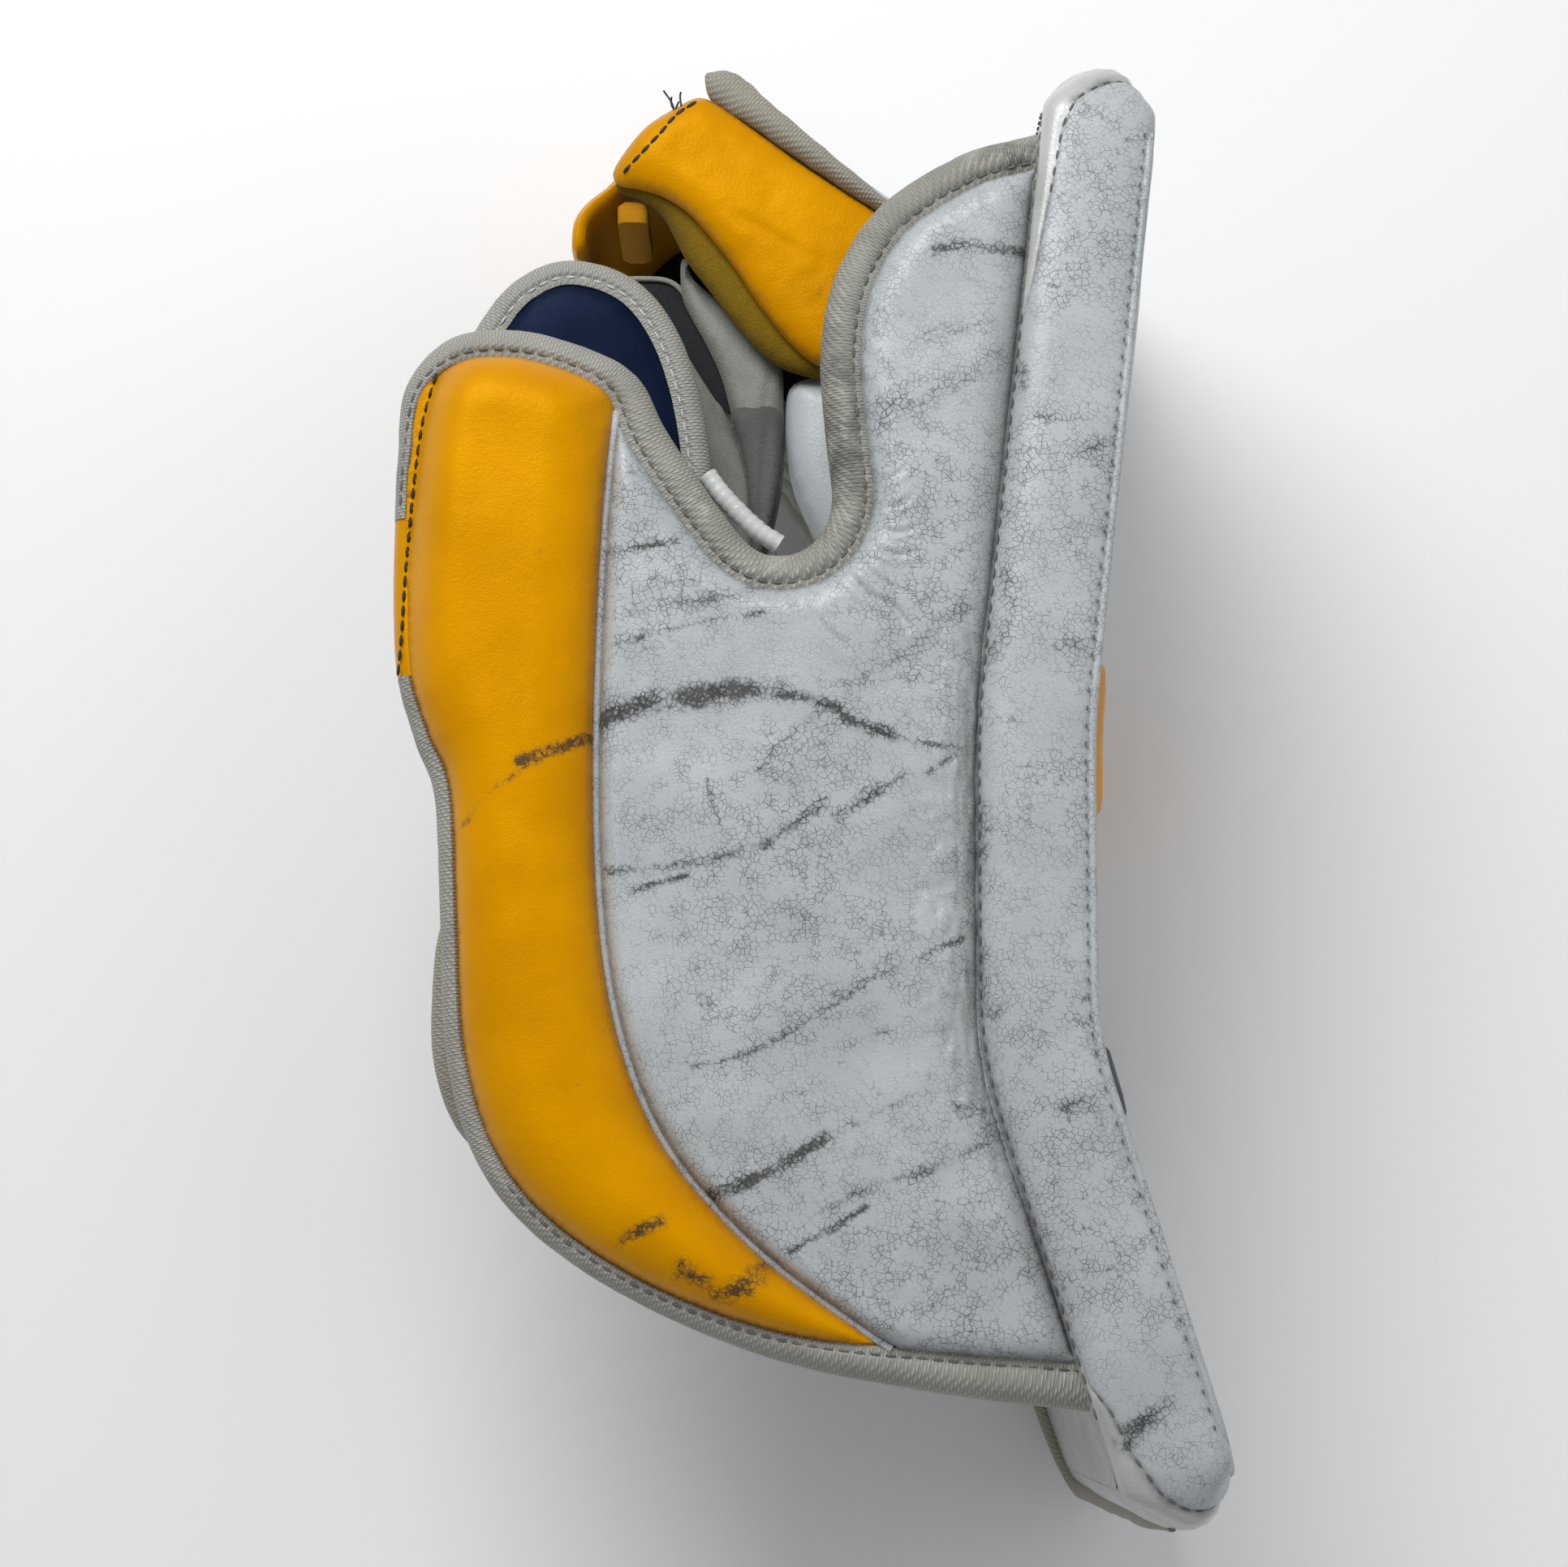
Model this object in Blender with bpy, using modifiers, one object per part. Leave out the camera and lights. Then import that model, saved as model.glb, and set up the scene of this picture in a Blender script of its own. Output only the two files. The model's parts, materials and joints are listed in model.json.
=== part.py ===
"""Ice hockey goalie blocker, built piece by piece, lying on the outer edge of its board.

+X is the way the blocking face looks, +Y runs to the finger end, +Z runs to the thumb side.
The origin is on the board's outer edge, which is the face that the blocker rests on.
All sizes below are in millimetres; MM turns them into metres.
"""

import math

import bmesh
import bpy
from mathutils import Matrix, Vector

MM = 0.001
GAP = 0.3

# Board: a thin slab with a flat waist, tilted forward above and below it.
BOARD_WIDTH = 203.0
BOARD_HALF = 15.0
WAIST_CENTRE = Vector((-1.0, -22.0))
WAIST_LENGTH = 55.0
FINGER_TILT = math.radians(6.4)
FINGER_BEND_RADIUS = 250.0
FINGER_REACH = 181.0
CUFF_TILT = math.radians(17.2)
CUFF_BEND_RADIUS = 100.0
CUFF_REACH = 129.0
BAND_WALL = 5.5
SHELL = 1.6
CORNER_RADIUS = 20.0
FACE_PROUD = 2.0
FACE_LIP = 4.5

# Sidewall: the padded wall that stands up from the thumb edge of the board.
WALL_BACK = 172.0
WALL_FACE = 193.0
ROLL_FACE = 201.0
EDGE_BACK = 175.0
EDGE_FACE = 189.0
# Each point is (x, y, width of the edging there). The roll wraps the edge itself between two of them.
SIDEWALL_EDGE = (
    (12, 186, 11), (-4, 182, 11), (-20, 177, 11), (-41, 163, 11), (-53, 144, 11), (-57, 122, 11),
    (-55.5, 98, 11), (-54, 81, 11), (-58.5, 71, 11), (-67, 67, 10.5), (-76, 70, 10.5), (-86, 83, 11),
    (-98, 101, 11), (-106, 116, 10), (-120, 124, 9), (-140, 129, 9), (-157, 126, 8.5), (-168, 113, 6),
    (-170, 94, 4.5), (-170.5, 76, 4), (-170.5, 52, 4), (-169, 33, 4), (-164, 16, 4.5), (-159, 2, 5),
    (-157, -30, 5), (-155, -66, 5.5), (-147, -93, 6), (-131, -113, 6), (-103, -131, 6), (-68, -145, 7.5),
    (-28, -153, 9), (8, -157.5, 9.5), (22, -159, 9.5),
)
ROLL_WRAP = (19, 21)
ROLL_SEAM = (
    (-108, 125), (-113, 90), (-115.5, 45), (-116, 0), (-114, -35), (-109, -62), (-100, -85),
    (-87, -103), (-66, -123), (-27, -150),
)

LACE_PATH = ((-88, 88, 171.9), (-83, 82, 171.9), (-78.5, 77, 171.9), (-73, 73, 171.9), (-66, 70.5, 171.9))

# Thumb guard: the second, inner layer that flexes with the thumb.
THUMB_GUARD_EDGE = (
    (-160, 36), (-161, 80), (-159, 112), (-153, 131), (-142, 147), (-127, 154), (-110, 150),
    (-98, 138), (-90, 118), (-86, 92), (-87, 70), (-94, 40), (-108, 12), (-126, -1), (-150, 4),
)
THUMB_BACK = 155.5
THUMB_FACE = 168.5
THUMB_BINDING = 8.0
THUMB_PIVOT = (-130.0, 2.0, 162.0)
STALL_WALL = 1.8

# Finger guard: a stiff plate hinged on the board's back, with a side panel over the index finger.
GUARD_PIVOT = Vector((-7.5, 145.5))
GUARD_SLOPE = math.radians(144.7)
GUARD_LOW = 30.0
GUARD_HIGH = 142.5
GUARD_REACH = 101.0
INDEX_GUARD_BACK = 144.0
INDEX_GUARD_FACE = 154.0
INDEX_GUARD_OUTLINE = (
    (-26, 154), (-31, 163.3), (-60, 184.2), (-86, 202.4), (-93, 202.3), (-104.5, 195), (-113.5, 184.5),
    (-113.6, 180), (-107, 177), (-101, 172.8), (-97.5, 166.5), (-94, 159.5), (-88.5, 152.2), (-81.7, 143),
    (-75, 134.8), (-68, 129), (-62, 126.7), (-56, 125.4), (-44, 124), (-28, 134),
)

# Hand: pad, palm shell and finger stalls.
PAD_DEPTH = 11.0
PALM_FACE = -62.0
PALM_WALL = 3.0
HAND_LOW = 34.0
HAND_HIGH = 134.0
PALM_CUFF = -75.0
PALM_KNUCKLE = 66.0
FINGER_PATH = ((-43, 74), (-46, 92), (-54, 110), (-68, 124), (-84, 130), (-95, 128))
KNUCKLE = (-44.0, 78.0)
FINGER_HALF = 11.0
FINGER_DEPTH = 20.0
FINGER_NAMES = ("little", "ring", "middle", "index")
FINGER_FIRST = 46.0
FINGER_PITCH = 21.5
STRAP_PIVOT = (-66.5, -59.0, 154.0)

# Colours as the materials show them, with roughness.
FINISHES = {
    "white_leather": ((0.72, 0.74, 0.77), 0.45),
    "yellow_leather": ((0.85, 0.47, 0.01), 0.40),
    "navy_leather": ((0.01, 0.015, 0.06), 0.35),
    "grey_binding": ((0.36, 0.36, 0.34), 0.80),
    "cream_binding": ((0.45, 0.44, 0.38), 0.80),
    "grey_suede": ((0.33, 0.35, 0.34), 0.90),
    "olive_lining": ((0.33, 0.26, 0.02), 0.85),
    "black_fabric": ((0.015, 0.016, 0.018), 0.85),
    "foam": ((0.30, 0.31, 0.33), 0.90),
    "plastic_sheet": ((0.75, 0.76, 0.78), 0.35),
    "steel": ((0.55, 0.56, 0.58), 0.30),
}
METALS = ("steel",)
AXIS_FRAMES = {
    "Z": Matrix.Identity(3),
    "Y": Matrix(((1, 0, 0), (0, 0, 1), (0, 1, 0))),
    "X": Matrix(((0, 0, 1), (1, 0, 0), (0, 1, 0))),
}


# ---------------------------------------------------------------- plane geometry

def smooth(points, closed=False, steps=4):
    """Points along a Catmull-Rom curve through the given points."""
    points = [Vector(p) for p in points]
    count = len(points)
    spans = count if closed else count - 1
    curve = []
    for i in range(spans):
        if closed:
            a, b, c, d = (points[(i + k - 1) % count] for k in range(4))
        else:
            b, c = points[i], points[i + 1]
            a = points[i - 1] if i else b * 2 - c
            d = points[i + 2] if i + 2 < count else c * 2 - b
        for k in range(steps):
            t = k / steps
            curve.append(0.5 * (2 * b + (c - a) * t + (2 * a - 5 * b + 4 * c - d) * t * t
                                + (3 * b - a - 3 * c + d) * t * t * t))
    if not closed:
        curve.append(points[-1])
    return curve


def offset(points, distance, closed=False):
    """The curve moved to its left by one distance, or by a distance for each point."""
    count = len(points)
    distances = distance if isinstance(distance, list) else [distance] * count
    moved = []
    for i, point in enumerate(points):
        before = points[i - 1] if closed or i else point
        after = points[(i + 1) % count] if closed or i + 1 < count else point
        along = (after - before).normalized()
        moved.append(point + Vector((-along.y, along.x)) * distances[i])
    return moved


def stretch(points, start, end):
    """Part of a curve between two of its points, pulled in by half a gap at each end."""
    part = list(points[start:end + 1])
    part[0] = part[0] + (part[1] - part[0]).normalized() * GAP / 2
    part[-1] = part[-1] + (part[-2] - part[-1]).normalized() * GAP / 2
    return part


def arc(centre, radius, start, end, steps):
    """Points round an arc, with angles in degrees."""
    angles = [math.radians(start + (end - start) * k / steps) for k in range(steps + 1)]
    return [Vector((centre[0] + radius * math.cos(a), centre[1] + radius * math.sin(a))) for a in angles]


def rounded_rectangle(low, high, radius, steps=5):
    """A rectangle's outline with round corners."""
    (x0, y0), (x1, y1) = low, high
    corners = ((x1 - radius, y0 + radius, -90), (x1 - radius, y1 - radius, 0),
               (x0 + radius, y1 - radius, 90), (x0 + radius, y0 + radius, 180))
    return [p for x, y, a in corners for p in arc((x, y), radius, a, a + 90, steps)]


def board_line():
    """The board's middle line from the cuff end to the finger end: straight, bend, waist, bend, straight."""
    line = [WAIST_CENTRE - Vector((0, WAIST_LENGTH / 2)), WAIST_CENTRE + Vector((0, WAIST_LENGTH / 2))]
    for radius, tilt, reach, way in ((FINGER_BEND_RADIUS, FINGER_TILT, FINGER_REACH, 1),
                                     (CUFF_BEND_RADIUS, CUFF_TILT, CUFF_REACH, -1)):
        base = line[-1] if way > 0 else line[0]
        steps = 4
        bend = []
        for k in range(1, steps + 1):
            a = tilt * k / steps
            bend.append(base + Vector((radius * (1 - math.cos(a)), way * radius * math.sin(a))))
        heading = Vector((math.sin(tilt), way * math.cos(tilt)))
        bend.append(bend[-1] + heading * (reach - radius * tilt))
        line = line + bend if way > 0 else bend[::-1] + line
    return line


BOARD_LINE = board_line()


def board_curve(out, low=-400.0, high=400.0, spare=0.0):
    """The board's middle line moved towards the face, between two heights, with spare length at its ends."""
    line = list(BOARD_LINE)
    line[0] = line[0] + (line[0] - line[1]).normalized() * spare
    line[-1] = line[-1] + (line[-1] - line[-2]).normalized() * spare
    curve = offset(line, -out)
    kept = []
    for a, b in zip(curve, curve[1:]):
        for p, q in ((a, b), (b, a)):
            if low <= p.y <= high and (not kept or (kept[-1] - p).length > 0.01) and p is a:
                kept.append(p)
            for level in (low, high):
                if p is a and a.y < level < q.y:
                    kept.append(a.lerp(q, (level - a.y) / (q.y - a.y)))
    if curve[-1].y <= high:
        kept.append(curve[-1])
    return kept


def board_slice(back, face, low=-400.0, high=400.0, spare=0.0):
    """The loop between two curves parallel to the board."""
    return board_curve(face, low, high, spare) + board_curve(back, low, high, spare)[::-1]


def board_section(grow=0.0):
    """The board's whole section, with round ends."""
    line = BOARD_LINE
    half = BOARD_HALF + grow
    top = math.degrees(math.atan2(line[-1].y - line[-2].y, line[-1].x - line[-2].x))
    bottom = math.degrees(math.atan2(line[0].y - line[1].y, line[0].x - line[1].x))
    face = offset(line, -half)
    back = offset(line, half)
    finger_end = arc(line[-1], half, top - 90, top + 90, 8)
    cuff_end = arc(line[0], half, bottom - 90, bottom + 90, 8)
    return face[1:-1] + finger_end + back[1:-1][::-1] + cuff_end


# ---------------------------------------------------------------- solids

def new_collection(name):
    collection = bpy.data.collections.new(name)
    bpy.context.scene.collection.children.link(collection)
    return collection


def finish_of(name):
    """A Principled material for one of the finishes."""
    found = bpy.data.materials.get(name)
    if found:
        return found
    colour, roughness = FINISHES[name]
    material = bpy.data.materials.new(name)
    material.use_nodes = True
    shader = material.node_tree.nodes["Principled BSDF"]
    shader.inputs["Base Color"].default_value = (*colour, 1.0)
    shader.inputs["Roughness"].default_value = roughness
    shader.inputs["Metallic"].default_value = 1.0 if name in METALS else 0.0
    return material


def to_mesh(made, name, finish):
    """Turns a curve object into a welded mesh object with a finish, and removes the curve."""
    bpy.context.view_layer.update()
    graph = bpy.context.evaluated_depsgraph_get()
    mesh = bpy.data.meshes.new_from_object(made.evaluated_get(graph))
    mesh.transform(made.matrix_world)
    bpy.data.objects.remove(made)
    welded = bmesh.new()
    welded.from_mesh(mesh)
    bmesh.ops.remove_doubles(welded, verts=welded.verts, dist=1e-6)
    bmesh.ops.recalc_face_normals(welded, faces=welded.faces)
    welded.to_mesh(mesh)
    welded.free()
    mesh.name = name
    solid = bpy.data.objects.new(name, mesh)
    if finish:
        PARTS.objects.link(solid)
        mesh.materials.clear()
        mesh.materials.append(finish_of(finish))
    else:
        CUTTERS.objects.link(solid)
        solid.hide_render = True
        solid.display_type = "WIRE"
    return solid


def prism(name, loops, low, high, finish=None, axis="Z"):
    """A flat outline, with any holes, thickened from low to high along an axis. No finish makes a cutter."""
    if isinstance(loops[0], Vector):
        loops = (loops,)
    data = bpy.data.curves.new(name, "CURVE")
    data.dimensions = "2D"
    data.fill_mode = "BOTH"
    data.extrude = (high - low) / 2 * MM
    for loop in loops:
        spline = data.splines.new("POLY")
        spline.points.add(len(loop) - 1)
        for point, place in zip(spline.points, loop):
            point.co = (place.x * MM, place.y * MM, 0, 1)
        spline.use_cyclic_u = True
    made = bpy.data.objects.new(name, data)
    bpy.context.scene.collection.objects.link(made)
    turn = AXIS_FRAMES[axis]
    made.matrix_world = Matrix.Translation(turn @ Vector((0, 0, (low + high) / 2 * MM))) @ turn.to_4x4()
    return to_mesh(made, name, finish)


def tube(name, path, radius, finish, resolution=2):
    """A round cord along a path of points in space."""
    data = bpy.data.curves.new(name, "CURVE")
    data.dimensions = "3D"
    data.bevel_depth = radius * MM
    data.bevel_resolution = resolution
    data.use_fill_caps = True
    spline = data.splines.new("POLY")
    spline.points.add(len(path) - 1)
    for point, place in zip(spline.points, path):
        point.co = (*(Vector(place) * MM), 1)
    made = bpy.data.objects.new(name, data)
    bpy.context.scene.collection.objects.link(made)
    return to_mesh(made, name, finish)


def cut(solid, cutter, operation="DIFFERENCE"):
    """Cuts, or keeps what is inside, with a cutter."""
    modifier = solid.modifiers.new(cutter.name, "BOOLEAN")
    modifier.operation = operation
    modifier.object = cutter
    modifier.solver = "EXACT"
    return solid


def round_edges(solid, width, segments=2):
    """Rounds the sharp edges of a solid."""
    modifier = solid.modifiers.new("rounded", "BEVEL")
    modifier.width = width * MM
    modifier.segments = segments
    modifier.limit_method = "ANGLE"
    modifier.angle_limit = math.radians(50)
    return solid


def block(name, low, high, finish, rounding=0.0):
    """A box between two corners, with rounded edges."""
    low, high = Vector(low), Vector(high)
    bpy.ops.mesh.primitive_cube_add(size=1, location=(low + high) / 2 * MM)
    solid = bpy.context.object
    solid.name = solid.data.name = name
    solid.data.transform(Matrix.Diagonal((*((high - low) * MM), 1)))
    for collection in list(solid.users_collection):
        collection.objects.unlink(solid)
    PARTS.objects.link(solid)
    solid.data.materials.append(finish_of(finish))
    if rounding:
        round_edges(solid, rounding)
    return solid


def hang(name, place, members):
    """Puts pieces under an empty that stands on their joint's axis."""
    axis = bpy.data.objects.new(name, None)
    axis.empty_display_size = 0.01
    axis.location = Vector(place) * MM
    PARTS.objects.link(axis)
    for member in members:
        solid = PARTS.objects[member]
        solid.parent = axis
        solid.matrix_parent_inverse = Matrix.Translation(-axis.location)


# ---------------------------------------------------------------- the board

def face_outline(name, inset):
    """A cutter with the outline of the blocking face, drawn in by an inset."""
    low = min(p.y for p in board_section()) + inset
    high = max(p.y for p in board_section()) - inset
    radius = max(CORNER_RADIUS - inset, 8.0)
    outline = rounded_rectangle((low, inset), (high, BOARD_WIDTH - inset), radius)
    return prism(name, outline, -60, 90, axis="X")


def build_board():
    """Band, core, stiffener, covers and the padded panels of the face."""
    outer = face_outline("cutter_board_outline", 0)
    inner = face_outline("cutter_board_inside", BAND_WALL)
    layer_outline = face_outline("cutter_layer_outline", BAND_WALL + GAP)
    cut(inner, prism("cutter_board_slice", board_slice(-BOARD_HALF - 5, BOARD_HALF + 5, spare=GAP),
                     -10, BOARD_WIDTH + 10), "INTERSECT")
    band = prism("board_edge_band", board_section(), 0, BOARD_WIDTH, "white_leather")
    cut(band, outer, "INTERSECT")
    cut(band, inner)

    face = BOARD_HALF
    layers = (
        ("board_back_cover", -face, -face + SHELL, "white_leather"),
        ("board_back_foam", -face + SHELL + GAP, -1.5, "foam"),
        ("board_stiffener", -1.5 + GAP, 1.5, "plastic_sheet"),
        ("board_core_foam", 1.5 + GAP, face - FACE_LIP - GAP, "foam"),
    )
    for name, back, front, finish in layers:
        layer = prism(name, board_slice(back, front), 0, BOARD_WIDTH, finish)
        cut(layer, layer_outline, "INTERSECT")

    build_face(layer_outline)
    welt = prism("face_welt", face_ring(7.5, 10.0), -60, 90, "white_leather", axis="X")
    cut(welt, prism("cutter_welt", board_slice(face + GAP, face + 2.2), -10, BOARD_WIDTH + 10), "INTERSECT")


def face_ring(wide, narrow):
    """Two loops round the blocking face, drawn in by narrow and then by wide."""
    low = min(p.y for p in board_section())
    high = max(p.y for p in board_section())
    return tuple(
        rounded_rectangle((low + inset * 2, inset), (high - inset * 2, BOARD_WIDTH - inset), CORNER_RADIUS - inset)
        for inset in (wide, narrow)
    )


def build_face(layer_outline):
    """The five padded panels of the blocking face, parted by slanting seams."""
    inside = prism("cutter_face_inside", face_ring(10.0 + GAP, 10.0 + GAP)[0], -60, 90, axis="X")
    seams = (-400.0, -92.0, -68.0, -8.0, 36.0, 400.0)
    slant = 26.0
    panels = ("face_panel_cuff", "face_panel_navy", "face_panel_waist", "face_panel_yellow", "face_panel_finger")
    finishes = ("white_leather", "navy_leather", "white_leather", "yellow_leather", "white_leather")
    proud = (0.0, FACE_PROUD, 0.0, FACE_PROUD, 0.0)
    for k, (name, finish) in enumerate(zip(panels, finishes)):
        low, high = seams[k] + GAP / 2, seams[k + 1] - GAP / 2
        sliver = [Vector((low + slant, -10)), Vector((high + slant, -10)),
                  Vector((high, BOARD_WIDTH + 10)), Vector((low, BOARD_WIDTH + 10))]
        front = BOARD_HALF + 1.0 + proud[k]
        panel = prism(name, board_slice(BOARD_HALF - FACE_LIP, front), 0, BOARD_WIDTH, finish)
        cut(panel, inside, "INTERSECT")
        cut(panel, prism("cutter_" + name, sliver, -70, 95, axis="X"), "INTERSECT")


def build_cuff_binding():
    """The cream tape round the back cover: down the outer edge, round the corner, across the cuff end."""
    radius = 3.0
    reach = BOARD_HALF + GAP + radius
    line = board_curve(-reach, high=-84)
    tip = BOARD_LINE[0]
    heading = (tip - BOARD_LINE[1]).normalized()
    back = Vector((heading.y, -heading.x))
    path = [Vector((*point, 7.0)) for point in line[:0:-1]]
    for turn in (0, 30, 60, 90):
        swing = math.radians(50 * math.sin(math.radians(turn)))
        rise = 14 * (1 - math.cos(math.radians(turn)))
        path.append(Vector((*(tip + reach * (back * math.cos(swing) + heading * math.sin(swing))), 7.0 + rise)))
    path.append(Vector((path[-1].x, path[-1].y, 182.0)))
    tube("cuff_binding", path, radius, "cream_binding")


# ---------------------------------------------------------------- the sidewall

def build_sidewall():
    """Wall layers inside a bound edge, the yellow roll and the flange that fixes it to the board."""
    steps = 3
    edge = smooth([point[:2] for point in SIDEWALL_EDGE], steps=steps)
    widths = [point.x for point in smooth([(point[2], 0) for point in SIDEWALL_EDGE], steps=steps)]
    inner_edge = offset(edge, widths)
    keep_off_board = prism("cutter_board_room", board_section(GAP), -10, BOARD_WIDTH + 10)
    first, last = (index * steps for index in ROLL_WRAP)
    for name, start, end, back, front, finish in (
        ("sidewall_binding_upper", 0, first, EDGE_BACK, EDGE_FACE, "grey_binding"),
        ("roll_edge_strip", first, last, EDGE_BACK - 1, EDGE_FACE + 2, "yellow_leather"),
        ("sidewall_binding_lower", last, len(edge) - 1, EDGE_BACK, EDGE_FACE, "grey_binding"),
    ):
        strip = stretch(edge, start, end) + stretch(inner_edge, start, end)[::-1]
        cut(prism(name, strip, back, front, finish), keep_off_board)

    field = offset(edge, [width + GAP for width in widths]) + board_curve(0, low=-144, high=170)
    seam = smooth(ROLL_SEAM, steps=4)
    far = [Vector((-230, -200)), Vector((-230, 160))]
    left_of_seam = prism("cutter_roll", seam + far, 150, 230)
    roll_room = prism("cutter_roll_room", offset(seam, GAP) + far, 150, 230)
    layers = (
        ("sidewall_lining", WALL_BACK, WALL_BACK + 2, "grey_suede"),
        ("sidewall_foam", WALL_BACK + 2 + GAP, 182, "foam"),
        ("sidewall_stiffener", 182 + GAP, 184.3, "plastic_sheet"),
        ("sidewall_cover", 184.3 + GAP, WALL_FACE, "white_leather"),
    )
    for name, back, front, finish in layers:
        cut(cut(prism(name, field, back, front, finish), keep_off_board), roll_room)
    for name, back, front, finish in (
        ("roll_core", WALL_BACK, 184, "foam"),
        ("roll_cover", 184 + GAP, ROLL_FACE, "yellow_leather"),
    ):
        cut(prism(name, field, back, front, finish), left_of_seam, "INTERSECT")

    flange = board_slice(-BOARD_HALF - GAP - 2, -BOARD_HALF - GAP, low=-150, high=110)
    prism("sidewall_flange", flange, 153, WALL_BACK - GAP, "plastic_sheet")
    for k, height in enumerate((-125, -60, 10, 85)):
        build_bolt(f"flange_bolt_{k + 1}", height, 162.0)


def build_bolt(name, height, across):
    """A low round bolt head on the flange, square to the board's back."""
    curve = board_curve(-BOARD_HALF - GAP * 2 - 2, low=height - 1, high=height + 1)
    along = (curve[-1] - curve[0]).normalized()
    normal = Vector((-along.y, along.x))
    middle = (curve[0] + curve[-1]) / 2 + normal
    bpy.ops.mesh.primitive_cylinder_add(vertices=16, radius=5 * MM, depth=2 * MM,
                                        location=(middle.x * MM, middle.y * MM, across * MM))
    bolt = bpy.context.object
    bolt.name = bolt.data.name = name
    bolt.rotation_euler = Vector((normal.x, normal.y, 0)).to_track_quat("Z", "X").to_euler()
    for collection in list(bolt.users_collection):
        collection.objects.unlink(bolt)
    PARTS.objects.link(bolt)
    bolt.data.materials.append(finish_of("steel"))


def build_wrist_pad():
    """Pad inside the sidewall at the wrist, with its bound outer edge, and the white lace in the notch."""
    outline = rounded_rectangle((-150, -90), (-66, -20), 18)
    prism("wrist_pad", outline, WALL_BACK - 14, WALL_BACK - GAP, "grey_suede")
    edge = smooth(((-128, -14), (-146, -18), (-154, -31), (-156, -50), (-155, -68), (-148, -84), (-132, -94)), steps=3)
    strip = edge + offset(edge, -4.5)[::-1]
    prism("wrist_pad_binding", strip, WALL_BACK - 13, WALL_BACK - 2, "cream_binding")
    tube("thumb_lace", LACE_PATH, 2.8, "white_leather", resolution=3)


# ---------------------------------------------------------------- the thumb guard

def build_thumb_guard():
    """The navy inner guard with its lining and binding, and the glove's thumb stall under it."""
    edge = smooth(THUMB_GUARD_EDGE, closed=True, steps=3)
    inside = offset(edge, -THUMB_BINDING - GAP, closed=True)
    middle = (THUMB_BACK + THUMB_FACE) / 2
    prism("thumb_guard_cover", inside, middle + GAP, THUMB_FACE, "navy_leather")
    prism("thumb_guard_lining", inside, THUMB_BACK, middle, "black_fabric")
    ring = (edge, offset(edge, -THUMB_BINDING, closed=True))
    prism("thumb_guard_binding", ring, THUMB_BACK + 0.6, THUMB_FACE - 0.4, "grey_binding")
    top = THUMB_BACK - GAP
    low, high = (-152, 2), (-112, 100)
    stall = prism("thumb_stall", rounded_rectangle(low, high, 14), top - 22, top, "grey_suede")
    room = rounded_rectangle((low[0] + STALL_WALL, low[1] - 30), (high[0] - STALL_WALL, high[1] - STALL_WALL), 12)
    cut(stall, prism("cutter_thumb_stall", room, top - 22 + STALL_WALL, top - STALL_WALL))
    hang("thumb_guard_axis", THUMB_PIVOT, ("thumb_guard_cover", "thumb_guard_lining", "thumb_guard_binding",
                                           "thumb_stall"))


# ---------------------------------------------------------------- the finger guard

def guard_strip(start, end, near, far):
    """A loop along the guard's slope, from start to end out from the pivot and between two offsets."""
    along = Vector((math.cos(GUARD_SLOPE), math.sin(GUARD_SLOPE)))
    out = Vector((along.y, -along.x))
    return [GUARD_PIVOT + along * a + out * b for a, b in ((start, near), (end, near), (end, far), (start, far))]


def build_finger_guard():
    """The hinged plate, its tip, and the side panel over the index finger."""
    prism("finger_guard_stiffener", guard_strip(5, GUARD_REACH - 3, 3.5, 5.5), GUARD_LOW, GUARD_HIGH, "plastic_sheet")
    prism("finger_guard_cover", guard_strip(5, GUARD_REACH - 3, 5.8, 11.5), GUARD_LOW, GUARD_HIGH, "white_leather")
    prism("finger_guard_lining", guard_strip(5, GUARD_REACH - 3, 0.5, 3.2), GUARD_LOW, GUARD_HIGH, "black_fabric")
    for name, back, front in (("finger_guard_binding", GUARD_HIGH + GAP, INDEX_GUARD_FACE + 1),
                              ("finger_guard_outer_binding", GUARD_LOW - 8, GUARD_LOW - GAP)):
        prism(name, guard_strip(30, GUARD_REACH, 2.5, 11.5), back, front, "grey_binding")
    tip_path = smooth(((-90, 203.5), (-103, 197.5), (-111, 190), (-117, 183.5), (-122.5, 179), (-126.3, 173), (-127, 163)),
                      steps=2)
    tip = tip_path + offset(tip_path, 5)[::-1]
    prism("finger_guard_tip", tip, GUARD_LOW, 138, "yellow_leather")
    outline = smooth(INDEX_GUARD_OUTLINE, closed=True, steps=2)
    prism("index_guard_cover", outline, INDEX_GUARD_BACK + 3 + GAP, INDEX_GUARD_FACE, "yellow_leather")
    prism("index_guard_lining", offset(outline, 1.0, closed=True), INDEX_GUARD_BACK, INDEX_GUARD_BACK + 3,
          "olive_lining")
    block("index_guard_tab", (-113.5, 170, 104), (-105, 177.5, INDEX_GUARD_BACK - GAP), "yellow_leather", 1.5)
    hinge = arc(GUARD_PIVOT, 3.2, 0, 337.5, 15)
    prism("finger_guard_hinge_strip", hinge, GUARD_LOW, GUARD_HIGH, "grey_suede")
    hang("finger_guard_axis", (*GUARD_PIVOT, (GUARD_LOW + GUARD_HIGH) / 2), (
        "finger_guard_stiffener", "finger_guard_cover", "finger_guard_lining", "finger_guard_binding",
        "finger_guard_outer_binding", "finger_guard_tip", "finger_guard_hinge_strip", "index_guard_cover",
        "index_guard_lining", "index_guard_tab"))


# ---------------------------------------------------------------- the hand

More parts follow.
